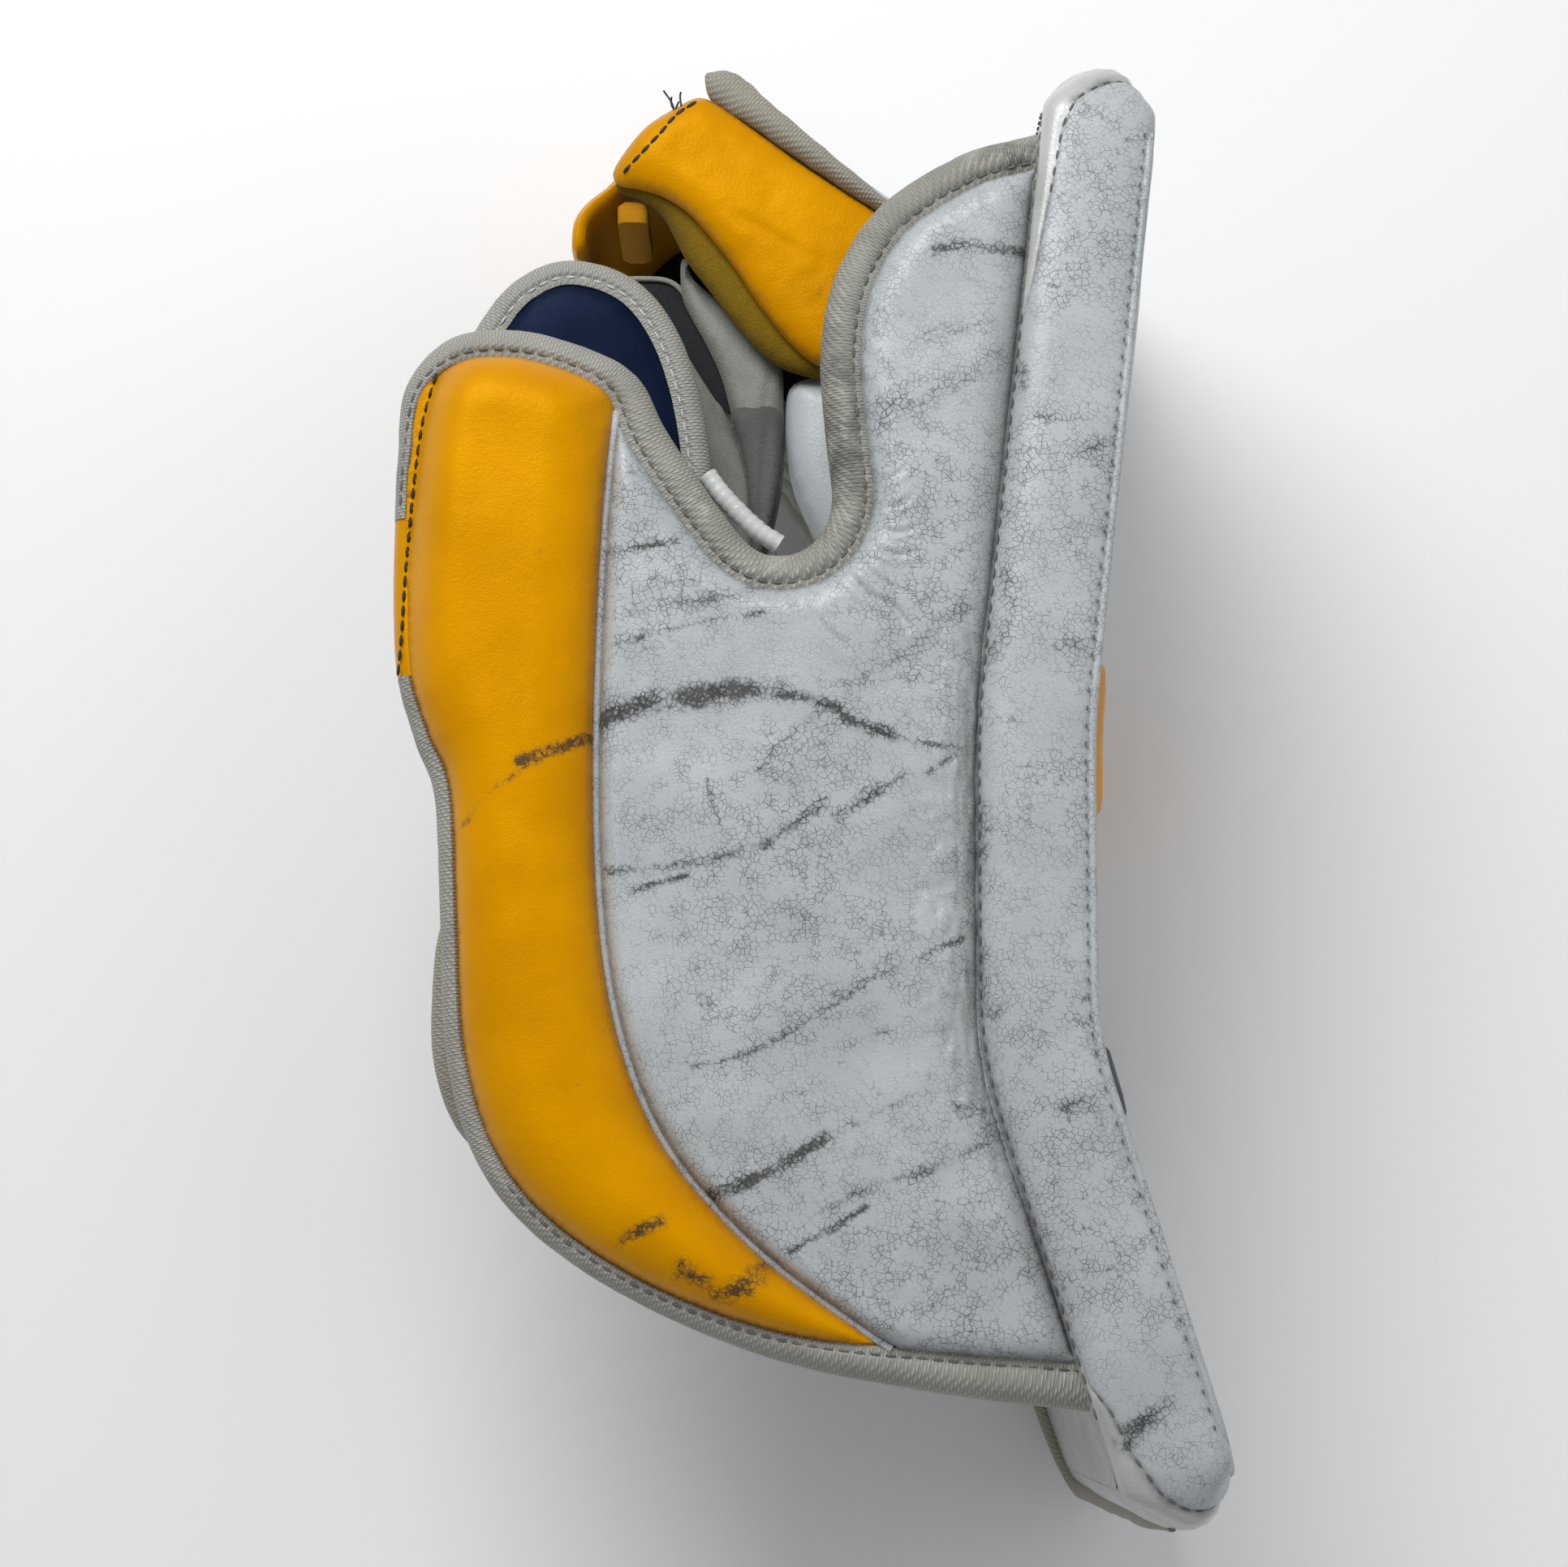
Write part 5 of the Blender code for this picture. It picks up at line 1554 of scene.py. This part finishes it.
@dataclass
class ThumbGuard:
    """The navy inner guard that swings with the thumb."""

    body: str = "thumb_guard"
    binding: float = 8.0
    shape: TapeShape = TapeShape(162.0, 6.2, 0.8, 5.0)
    edge_points: Points = (
        (-160, 36), (-161, 80), (-159, 112), (-153, 131), (-142, 147), (-127, 154), (-110, 150),
        (-98, 138), (-90, 118), (-86, 92), (-87, 70), (-94, 40), (-108, 12), (-126, -1), (-150, 4),
    )

    def build(self) -> None:
        """Makes cover, lining, edging, stitches and the stall."""
        edge = counter_clockwise(resample(smooth(self.edge_points, True), 2.0, True))
        inside_loop = offset(edge, self.binding - 0.4, True)
        Pad("navy_cover", inside_loop, Finish.NAVY, self.body, 162.2, 166.6, 2.0, reach=14.0, spacing=2.2,
            cad=("thumb_guard_cover",), seed=11.0).build()
        Pad("guard_lining", inside_loop, Finish.KNIT, self.body, 157.4, 162.0, 0.0, reach=12.0, spacing=2.6,
            cad=("thumb_guard_lining",), under=1.7, lumps=0.0).build()
        widths = np.full(len(edge), self.binding)
        build_edging("thumb_edging", edge, widths, self.shape, Finish.PALE_TAPE, self.body,
                     ("thumb_guard_binding",), closed=True, seed=13.0)
        inner = offset(edge, self.binding - 1.9, True)
        row = raised(inner, self.shape.thread_height(self.binding - 1.9, self.binding))
        StitchRow("thumb_stitches", [ringed(row)], Finish.WHITE_THREAD, self.body, 3.8, 2.8, 0.38).build()
        path = smooth(((-132, 2, 144), (-132, 40, 144), (-132, 80, 144), (-132, 99.5, 144)))
        build_stall("thumb_sock", path, 19.4, 10.4, 1.7, self.body, ("thumb_stall",), 21.0)


def build_stall(name: str, path: Array, half_width: float, half_height: float, wall: float, body: str,
                cad: Sequence[str], seed: float) -> bpy.types.Object:
    """A hollow stall for a finger, open at the start of its path and round at the end.

    Args:
        name: The piece's name.
        path: Its middle line, which stays in one level plane.
        half_width: Half its width in that plane.
        half_height: Half its height.
        wall: Its thickness.
        body: The body it moves with.
        cad: The frame's nodes that it stands for.
        seed: The seed of its wrinkles.

    Returns:
        The piece.
    """
    squareness = 0.72
    upward = np.array([0, 0, 1.0])
    path = resample(path, 1.5)
    far = travel(path)
    ahead = np.gradient(path, axis=0)
    ahead /= np.linalg.norm(ahead, axis=1)[:, None]
    side = np.column_stack([-ahead[:, 1], ahead[:, 0], np.zeros(len(path))])
    sides = 28
    angles = np.linspace(0, 2 * math.pi, sides, endpoint=False)
    cosine, sine = np.cos(angles), np.sin(angles)
    squared = np.sign(cosine) * np.abs(cosine) ** squareness
    lifted = np.sign(sine) * np.abs(sine) ** squareness
    left = np.clip((far[-1] - far) / half_width, 0, 1)
    close = np.sqrt(np.maximum(1 - (1 - left) ** 2, 0.0))
    rings = []
    for thin, order in ((0.0, range(len(path))), (wall, range(len(path) - 1, -1, -1))):
        for i in order:
            shrink = max(close[i], 0.02)
            wave = 0.35 * math.sin(far[i] / 2.1 + seed) * math.exp(-((far[i] - far[-1] * 0.45) / 14) ** 2)
            width = (half_width - thin + wave) * shrink
            height = (half_height - thin + wave * 0.5) * shrink
            spot = path[i] - ahead[i] * (thin if close[i] < 0.9 else 0.0)
            rings.append(spot + width * squared[:, None] * side[i] + height * lifted[:, None] * upward)
    faces, _ = ring_faces(len(rings), sides, True)
    grime = np.full(len(rings) * sides, 0.2)
    backs = [i for i in range(len(faces)) if cosine[i % sides] < 0.1]
    return make_piece(name, np.vstack(rings), faces, Finish.SUEDE, body, cad,
                      paint={"grime": grime, "scuff": 0 * grime}, second=(Finish.KNIT, backs))


# ---------------------------------------------------------------- the finger guard

@dataclass
class FingerGuard:
    """The hinged plate behind the fingers, its tip, and the yellow panel over the index finger.

    pivot is the hinge's place and slope the plate's direction from it. reach is how far the plate goes, and
    low and high are the heights of its sides.
    """

    body: str = "finger_guard"
    pivot: tuple[float, float] = (-7.5, 145.5)
    slope: float = math.radians(144.7)
    low: float = 30.0
    high: float = 142.5
    reach: float = 101.0
    lining_points: Points = (
        (-28, 160), (-60, 182.5), (-85, 201), (-93, 201), (-104, 193.8), (-112.8, 184), (-113.6, 180),
        (-107, 177), (-101, 172.8), (-97.5, 166.5), (-94, 159.5), (-88.5, 152.2), (-81.7, 143), (-75, 134.8),
        (-68, 129), (-62, 126.7), (-56, 125.4), (-44, 124), (-28, 134),
    )
    cover_points: Points = (
        (-25, 154), (-30, 163.6), (-60, 184.4), (-84, 202), (-90.5, 205), (-97, 202), (-105, 196.6),
        (-112, 188.5), (-114.6, 184), (-113.2, 180.4), (-106.5, 179), (-99.8, 176.6), (-92.9, 171.6),
        (-86.1, 163.6), (-80, 155.5), (-74.2, 146.5), (-67.6, 137.6), (-61.3, 131), (-55.5, 127.8),
        (-44, 126), (-28, 136),
    )
    tip_points: Points = (
        (-88.6, 208.2), (-92.6, 203.6), (-103, 197.5), (-111, 190), (-117, 183.5), (-122.5, 179), (-126.3, 173),
        (-127, 163),
    )

    def surface(self) -> RuledSurface:
        """The plate's slope, with u out from the hinge and h towards the finger end."""
        p = np.array(self.pivot)
        along = np.array([math.cos(self.slope), math.sin(self.slope)])
        return RuledSurface(np.array([p, p + along * self.reach]), side=-1.0)

    def build_plate(self) -> None:
        """Cover, lining, edging and hinge of the plate."""
        slope = self.surface()
        loop = rounded_rectangle((5, self.low), (self.reach - 3, self.high), 4)
        Pad("plate_cover", loop, Finish.PANEL_WHITE, self.body, 5.7, 7.4, 4.0, slope, reach=9.0, spacing=2.6,
            cad=("finger_guard_cover",), seed=31.0).build()
        Pad("plate_lining", loop, Finish.KNIT, self.body, 1.5, 3.2, 0.0, slope, reach=8.0, spacing=3.0,
            cad=("finger_guard_lining",), under=1.0, lumps=0.0).build()
        under, middle = 2.3, 7.0
        for name, cad, edge_v, way in (("plate_edging", "finger_guard_binding", 155.2, 1),
                                       ("plate_outer_edging", "finger_guard_outer_binding", 22.0, -1)):
            us = np.arange(104.5, 27.0, -1.6) if way > 0 else np.arange(27.0, 104.5, 1.6)
            face = np.interp(us, (30, 44, 60, 74, 86, 97, 105), (5.6, 6.4, 7.8, 9.2, 11.0, 12.6, 12.0))
            drop = 2.6 * np.clip((us - 66) / 30, 0, 1) ** 2 + 3.0 * np.clip((42 - us) / 15, 0, 1) ** 2
            drop += 2.0 * np.clip((us - 97) / 8, 0, 1) ** 2
            curve = np.column_stack([us, edge_v - way * drop])
            width = abs((self.high if way > 0 else self.low) - edge_v) - drop + 0.4
            rounding = np.sqrt(np.clip(1 - (np.clip(us - 97, 0, 7.7) / 8) ** 2, 0.05, 1))
            build_edging(name, curve, width, TapeShape(middle, 4.6, 0.5, 4.0), Finish.CREAM_TAPE, self.body,
                         (cad,), slope, seed=33.0 + way, wobble=0.1, swell=(face - under) / 9.2 * rounding,
                         shift=(face + under) / 2 - middle)
        us = np.arange(30.0, self.reach - 2, 2.0)
        row = np.column_stack([us, np.full(len(us), self.high + 1.6)])
        row = raised(row, np.interp(us, (30, 60, 86, 97), (5.4, 7.6, 10.8, 12.3)), slope)
        StitchRow("plate_stitches", [row], Finish.GREY_THREAD, self.body, 3.8, 2.7, 0.36).build()
        path = np.array([[*self.pivot, z] for z in np.arange(self.low, self.high + 1, 3.0)])
        build_tube("hinge_roll", path, 3.1 + 0.1 * ripple(path, 9, 4.0), Finish.SUEDE, self.body,
                   ("finger_guard_hinge_strip",), 14)

    def build_tip(self) -> None:
        """The yellow box that closes the guard's far end, and a black sheet inside it that is painted shade."""
        line = smooth(self.tip_points)
        bend = RuledSurface(line, side=-1.0)
        total = travel(line)[-1]
        loop = rounded_rectangle((0.5, self.low), (total - 0.5, 138.0), 5)
        Pad("guard_tip", loop, Finish.YELLOW, self.body, -2.0, -1.8, 1.6, bend, reach=3.0, spacing=1.8,
            cad=("finger_guard_tip",), under=2.0, power=2.2, lumps=0.2, seed=37.0,
            scuffs=(Scuff(((10, 110), (30, 118)), 3.0, 0.4),)).build()
        # A black knit sheet inside the box: painted shade where the box's inside lies in shadow.
        pocket = smooth(((-124.5, 164), (-123.5, 172), (-118.5, 178), (-109, 188), (-99, 196.5), (-90, 199),
                         (-62, 178), (-42, 161), (-40, 152), (-60, 150), (-92, 150), (-115, 156)), True)
        Pad("pocket_painted_shade", pocket, Finish.KNIT, self.body, 31.4, 32.2, 0.6, reach=3.0, spacing=4.0, fill=None,
            lumps=0.2, seed=39.0).build()

    def build_side(self) -> None:
        """The yellow panel over the index finger, its olive lining, fold and stitches."""
        lining = resample(smooth(self.lining_points, True), 2.0, True)
        cover = resample(smooth(self.cover_points, True), 2.0, True)

        def drape(points: Array) -> Array:
            """The panel rolls down at its far end and rises in a soft ridge along its middle."""
            end = np.clip(((points - (-98, 190)) @ np.array([-0.82, -0.57]) - 2) / 14, 0, 1)
            ridge = np.exp(-(((points - (-72, 165)) @ np.array([0.58, 0.81])) / 17) ** 2)
            skewed = points @ np.array([[0.3, 0.9], [0.9, -0.3]])
            return 0.7 * ridge - 3.0 * end ** 2 + 0.12 * ripple(skewed, 5, 6.0)

        Pad("index_cover", cover, Finish.YELLOW, self.body, 147.2, 149.8, 4.2, reach=8.5, spacing=1.3,
            cad=("index_guard_cover",), relief=drape, lumps=0.4, seed=41.0, grime=0.5,
            creases=(Crease(((-62, 158), (-72, 165), (-84, 171)), 1.6, 0.3),
                     Crease(((-46, 144), (-42, 152), (-38, 159)), 1.4, 0.35)),
            scuffs=(Scuff(((-46, 161), (-42, 165), (-38, 168)), 2.2, 0.6),
                    Scuff(((-58, 146), (-54, 151), (-50, 154)), 1.4, 0.4))).build()
        Pad("index_lining", lining, Finish.OLIVE, self.body, 143.4, 143.9, 3.1, reach=6.5, spacing=1.8,
            cad=("index_guard_lining",), lumps=0.15, seed=43.0, grime=0.8).build()
        row = smooth(((-92.6, 202), (-96.7, 198.9), (-100.7, 193.8), (-105.8, 188.2), (-110.4, 183.8)))
        near = distance_to(row, cover, True)
        heights = 149.8 + 4.2 * np.sqrt(1 - (1 - np.clip(near / 8.5, 0, 1)) ** 2) + drape(row) + 0.05
        row = raised(row, heights)
        StitchRow("index_stitches", [row], Finish.BLACK_THREAD, self.body, 3.4, 3.5, 0.6).build()
        tab = rounded_rectangle((-113.5, 104), (-105, 143.5), 2.5)
        tab_face = RuledSurface(np.array([(-130.0, 173.8), (-90.0, 173.8)]), side=1.0, start=-130.0)
        Pad("fold_tab", tab, Finish.FOLD, self.body, -2.9, 2.2, 1.4, tab_face, reach=3.0, spacing=1.4,
            cad=("index_guard_tab",), under=0.9, lumps=0.1, seed=47.0, grime=0.0).build()
        for k, (x, y, lean) in enumerate(((-97.4, 199.0, -1.6), (-96.4, 200.0, 0.9), (-97.0, 199.6, -0.6),
                                          (-96.8, 199.2, 0.2))):
            steps = np.linspace(0, 1, 12)[:, None]
            reach = steps * np.array([lean * 1.6, 7.5 - 1.3 * k, 2.0])
            curl = np.sin(steps * 4 + k) * np.array([0.6, 0.2, 0.4])
            tuft = np.array([x, y, 150.5]) + reach + curl
            build_tube(f"loose_thread_{k + 1}", tuft, 0.28, Finish.BLACK_THREAD, self.body, sides=6)


# ---------------------------------------------------------------- the hand

PALM_TOP = 200.0


def across_palm(face: float, side: float = -1.0) -> RuledSurface:
    """The flat palm side at a given x, where u runs down from PALM_TOP and v along the hand."""
    return RuledSurface(np.array([(face, PALM_TOP), (face, 0.0)]), axes=(0, 2, 1), side=side)


def palm_panel(top: float, bottom: float, low: float, high: float, radius: float) -> Array:
    """The outline of a panel on the palm side, from its heights and its reach along the hand."""
    return rounded_rectangle((PALM_TOP - top, low), (PALM_TOP - bottom, high), radius)


@dataclass
class Hand:
    """The glove: back pad, palm, patches and finger stalls.

    low and high are the heights of its little-finger and thumb sides, and palm is the x of its palm.
    """

    board: Board
    body: str = "board"
    low: float = 34.0
    high: float = 134.0
    palm: float = -62.0
    first_finger: float = 56.0
    finger_pitch: float = 21.5
    finger_points: Points = ((-43, 74), (-46, 92), (-54, 110), (-68, 124), (-84, 130), (-95, 128))

    def build_back(self) -> None:
        """The pad that the back of the hand lies on, and the loop sheet that holds it."""
        back = RuledSurface(self.board.line, side=1.0, start=self.board.surface.start)
        loop_sheet_room = 1.5
        face = self.board.half + 0.6 + loop_sheet_room
        loop = rounded_rectangle((-51.5, self.low), (97.5, self.high), 10)

        def channels(points: Array) -> Array:
            """Sewn channels across the pad."""
            apart, depth, width = 36, 2.6, 1.6
            rows = np.abs((points[:, 0] + 14) % apart - apart / 2)
            return -depth * np.exp(-((apart / 2 - rows) / width) ** 2)

        Pad("back_padding", loop, Finish.KNIT, self.body, face + 0.2, face + 4.5, 6.3, back, reach=9.0,
            spacing=2.4, cad=("hand_back_pad",), relief=channels, lumps=0.3, seed=51.0).build()
        loop = rounded_rectangle((-47.5, self.low + 4), (95.5, self.high - 4), 4)
        Pad("loop_sheet", loop, Finish.LOOP, self.body, self.board.half + 0.4, self.board.half + 1.2, 0.5, back,
            reach=1.5, spacing=3.2, cad=("pad_loop_sheet",), fill=None, lumps=0.1).build()

    def build_palm(self) -> None:
        """Palm shell, gusset and patches, with their stitches."""
        bend = 14.0
        turn = np.radians(np.linspace(180, 270, 10))
        corner = np.column_stack([self.palm + bend + bend * np.cos(turn), self.low + bend + bend * np.sin(turn)])
        line = np.vstack([[(self.palm, self.high)], corner, [(-24.5, self.low)]])
        total = travel(line)[-1]
        shell = RuledSurface(line, axes=(0, 2, 1), side=-1.0)
        loop = rounded_rectangle((0.2, -75), (total - 0.2, 66), 4)
        creases = tuple(Crease(((20, y), (50, y + 6), (86, y + 2)), 1.5, 0.5) for y in (-30, 8, 34))
        Pad("palm_leather", loop, Finish.SUEDE, self.body, -2.8, -0.6, 0.6, shell, reach=2.5, spacing=2.4,
            cad=("glove_palm",), fill=None, lumps=0.35, creases=creases, seed=53.0).build()
        gusset = rounded_rectangle((self.palm, -75), (-29, 8), 6)
        Pad("thumb_gusset_leather", gusset, Finish.SUEDE, self.body, 134.4, 135.6, 0.6, reach=3.0, spacing=2.6,
            cad=("thumb_gusset",), fill=None, lumps=0.25, seed=57.0).build()
        flat = across_palm(self.palm)
        patch = palm_panel(self.high - 12, self.low + 18, -34, 58, 14)
        Pad("palm_patch_leather", patch, Finish.SUEDE, self.body, 0.25, 0.9, 0.7, flat, reach=2.0, spacing=2.4,
            cad=("palm_patch",), fill=None, lumps=0.2, seed=59.0).build()
        inner = resample(palm_panel(self.high - 15, self.low + 21, -31, 55, 11), 2.0, True)
        row = ringed(raised(inner, 1.75, flat))
        StitchRow("palm_stitches", [row], Finish.WHITE_THREAD, self.body, 3.6, 2.6, 0.34).build()
        loops = palm_panel(self.low + 66, self.low + 16, -74, -44, 3)
        Pad("loop_patch", loops, Finish.LOOP, self.body, 0.25, 0.9, 0.5, flat, reach=1.5, spacing=2.0,
            cad=("strap_loop_patch",), fill=None, lumps=0.2, seed=61.0).build()
        knuckle = smooth(((-64, 126), (-66.2, 117), (-65.6, 104), (-63.4, 94), (-59.4, 85), (-55, 77), (-48, 73),
                          (-41, 78), (-39, 100), (-41, 122), (-52, 128)), True)
        Pad("knuckle_padding", knuckle, Finish.PANEL_WHITE, self.body, 133.0, 136.0, 6.2, reach=11.0,
            spacing=2.0, cad=("index_knuckle_pad",), under=0.6, lumps=0.2, seed=63.0).build()

    def build_notch(self) -> None:
        """The soft leather seen in the notch: the thumb crotch, the black lining and the index finger's side."""
        way = np.array([0.42, -0.91])

        def folds(points: Array) -> Array:
            """Wrinkles that run down to the root of the thumb."""
            across = points @ np.array([-way[1], way[0]])
            along = points @ way
            spread = np.column_stack([across + 1.5 * ripple(points, 20, 3.0), along / 4.5])
            return 1.5 * ripple(spread, 5.5, 5.0) + 0.5 * ripple(spread, 2.6, 9.0)

        crotch = smooth(((-118, 153), (-108, 147), (-97, 139.5), (-89, 129), (-83, 118), (-76, 104), (-72, 88),
                         (-66, 72), (-60, 62), (-76, 58), (-92, 68), (-103, 88), (-109, 112), (-116, 135)), True)
        soft = [Pad("thumb_crotch_leather", crotch, Finish.SUEDE, self.body, 130.9, 132.2, 1.0, reach=5.0,
                    spacing=1.5, fill=None, relief=folds, lumps=0.0, seed=101.0, grime=0.9).build()]
        lining = smooth(((-124, 156), (-107, 156.8), (-98, 155.4), (-91, 147), (-83, 134), (-77, 121),
                         (-83, 119), (-90, 129), (-97, 139.5), (-108, 147), (-122, 150)), True)
        soft.append(Pad("thumb_hole_lining", lining, Finish.KNIT, self.body, 131.1, 132.0, 0.8, reach=4.0,
                        spacing=2.2, fill=None, lumps=0.3, seed=103.0).build())
        hem = smooth(((-124, 156.6, 132.6), (-107, 157.6, 132.8), (-98, 156.2, 132.8), (-92, 149, 132.8)))
        soft.append(build_tube("lining_hem", resample(hem, 1.5), 0.8, Finish.SUEDE, self.body, sides=8))
        for piece in soft:
            bend_with(piece)
        side = smooth(((-95.9, 161.5), (-94.3, 162.9), (-92.7, 157.5), (-86.3, 151.6), (-80.6, 147.4),
                       (-73.8, 141), (-67.6, 132.9), (-66.8, 118), (-66.6, 105), (-68, 92), (-70.5, 82),
                       (-75, 72), (-77, 84), (-77.5, 98), (-80, 111), (-82, 120), (-84.5, 129), (-88.6, 138),
                       (-92.4, 145), (-95.4, 152)), True)
        Pad("index_side_leather", side, Finish.SUEDE, self.body, 133.5, 134.2, 3.6, reach=6.0, spacing=1.4,
            fill=None, lumps=0.7, seed=105.0, grime=0.8,
            creases=(Crease(((-92, 155), (-84, 143), (-76, 133)), 1.8, 0.7),
                     Crease(((-70, 132), (-72, 116), (-71, 98)), 1.2, 0.6))).build()
        patch = smooth(((-81.5, 117.6), (-75, 119.2), (-67.6, 117.6), (-67.3, 105), (-69, 92), (-71.5, 82),
                        (-75, 73), (-76.4, 86), (-77, 98), (-79.4, 110)), True)
        Pad("index_side_patch", patch, Finish.DUN, self.body, 136.4, 137.6, 1.3, reach=3.0, spacing=1.4,
            fill=None, lumps=0.4, seed=107.0, grime=0.6,
            creases=(Crease(((-71, 116), (-72.5, 98), (-73.5, 80)), 1.0, 0.7),)).build()

    def build_fingers(self) -> None:
        """The four stalls, each on its own body."""
        for k, name in enumerate(("little", "ring", "middle", "index")):
            z = self.first_finger + self.finger_pitch * k
            path = smooth([(x, y, z) for x, y in self.finger_points] + [(-104.5, 124.5, z)], steps=5)
            build_stall(f"{name}_sock", path, 10.9, 9.9, 1.6, f"finger_{name}", (f"finger_stall_{name}",),
                        70.0 + k)


@dataclass
class WristStrap:
    """The strap that closes across the palm side of the wrist."""

    body: str = "wrist_strap"
    face: float = -65.2

    def build(self) -> None:
        """Makes strap, hook patch and stitches."""
        flat = across_palm(self.face)
        loop = palm_panel(155.5, 42, -76, -42, 5)
        Pad("strap_web", loop, Finish.KNIT, self.body, 0.1, 1.6, 0.9, flat, reach=2.5, spacing=1.8,
            cad=("wrist_strap",), fill=None, lumps=0.2, seed=81.0).build()
        inner = resample(palm_panel(153, 44.5, -73.5, -44.5, 4), 2.0, True)
        row = ringed(raised(inner, 2.45, flat))
        StitchRow("strap_stitches", [row], Finish.WHITE_THREAD, self.body, 3.6, 2.6, 0.32).build()
        hook = palm_panel(94, 48, -73, -45, 3)
        Pad("hook_patch", hook, Finish.LOOP, self.body, 0.3, 0.8, 0.5, across_palm(self.face, 1.0), reach=1.2,
            spacing=1.8, cad=("strap_hook_patch",), fill=None, lumps=0.15, seed=83.0).build()


@dataclass
class LittleFingerGuard:
    """The padded flap under the little finger, which rests on the floor beside the board."""

    board: Board
    body: str = "board"
    edge_points: Points = ((-16, 70), (-40, 68), (-58, 56), (-66, 36), (-68, 0), (-67, -36), (-60, -60),
                           (-42, -74), (-14, -78))

    def build(self) -> None:
        """Makes pad, edging and stitches."""
        edge = resample(smooth(self.edge_points), 2.0)
        shape = TapeShape(5.75, 5.7, 0.6, 5.0)
        widths = np.full(len(edge), 8.0)
        build_edging("flap_edging", edge, widths, shape, Finish.GREY_TAPE, self.body, ("pinky_guard_binding",),
                     seed=91.0)
        inner = offset(edge, 7.7)
        back = [(-16.8, -60), (-17.2, -40), (-17.2, 0), (-16.6, 20), (-14.5, 45)]
        loop = np.vstack([inner, back])
        Pad("flap_padding", loop, Finish.PANEL_WHITE, self.body, 0.0, 9.5, 3.8, reach=10.0, spacing=2.4,
            cad=("pinky_guard_pad",), lumps=0.2, seed=93.0).build()
        row = raised(offset(edge, 6.2), shape.thread_height(6.2, 8.0))
        StitchRow("flap_stitches", [row[2:-2]], Finish.GREY_THREAD, self.body, 4.0, 2.9, 0.38).build()


# ---------------------------------------------------------------- frame pieces and studio

HIDDEN_FINISHES = {
    "board_back_foam": Finish.FOAM, "board_core_foam": Finish.FOAM, "board_stiffener": Finish.SHEET,
    "sidewall_foam": Finish.FOAM, "sidewall_stiffener": Finish.SHEET, "sidewall_flange": Finish.SHEET,
    "finger_guard_stiffener": Finish.SHEET,
}


def dress_frame() -> None:
    """Gives the frame's own sheet and foam pieces their finishes."""
    for name, finish in HIDDEN_FINISHES.items():
        node = frame["nodes"][name]
        node.data.materials.clear()
        node.data.materials.append(finish_material(finish))
        LOG.info("%s: %s", name, finish.name)


@dataclass
class Studio:
    """The floor, the lights and the camera, in metres.

    look is the camera's place, and aim is where the lamps point.
    """

    look: tuple[float, float, float] = (-0.0667, -0.1399, 1.1568)
    tilt: float = math.radians(8.5)
    lens: float = 85.71
    aim: tuple[float, float, float] = (-0.05, 0.0, 0.1)

    def build(self) -> None:
        """Sets up everything round the blocker."""
        palette = Palette("pale_floor")
        palette.set(Base_Color=(0.93, 0.93, 0.93), Roughness=0.9, Specular_IOR_Level=0.1)
        mesh = bpy.data.meshes.new("floor")
        size = 6.0
        corners = [(-size, -size, 0), (size, -size, 0), (size, size, 0), (-size, size, 0)]
        mesh.from_pydata(corners, [], [(0, 1, 2, 3)])
        mesh.materials.append(palette.material)
        add_object("floor", mesh)
        world = bpy.data.worlds.new("studio")
        world.use_nodes = True
        background = world.node_tree.nodes["Background"]
        background.inputs["Color"].default_value = (0.97, 0.98, 1.0, 1.0)
        background.inputs["Strength"].default_value = 0.38
        bpy.context.scene.world = world
        bpy.context.scene.view_settings.view_transform = "Standard"
        for name, place, size, power in (
            ("key", (-0.35, 0.72, 1.1), 0.7, 11.5),
            ("fill", (1.0, 0.2, 1.5), 1.4, 3.5),
        ):
            light = bpy.data.lights.new(name, "AREA")
            light.shape, light.size, light.energy = "DISK", size, power
            lamp = add_object(name, light)
            lamp.location = place
            aim = Vector(self.aim) - Vector(place)
            lamp.rotation_euler = aim.to_track_quat("-Z", "Y").to_euler()
        camera = bpy.data.cameras.new("camera")
        camera.sensor_width, camera.lens, camera.clip_start = 36.0, self.lens, 0.01
        viewer = add_object("camera", camera)
        s, c = math.sin(self.tilt), math.cos(self.tilt)
        viewer.matrix_world = Matrix(((1, 0, 0, self.look[0]), (0, c, -s, self.look[1]), (0, s, c, self.look[2]),
                                      (0, 0, 0, 1)))
        bpy.context.scene.camera = viewer


def main() -> None:
    """Builds the blocker piece by piece."""
    logging.basicConfig(level=logging.INFO, format="%(name)s %(message)s")
    Studio().build()
    board = Board()
    board.build_band()
    board.build_face()
    board.build_back()
    wall = Sidewall(board)
    wall.build_edging()
    wall.build_padding()
    wall.build_inside()
    wall.build_bolts()
    ThumbGuard().build()
    guard = FingerGuard()
    guard.build_plate()
    guard.build_tip()
    guard.build_side()
    hand = Hand(board)
    hand.build_back()
    hand.build_palm()
    hand.build_notch()
    hand.build_fingers()
    WristStrap().build()
    LittleFingerGuard(board).build()
    dress_frame()


if __name__ == "__main__":
    main()
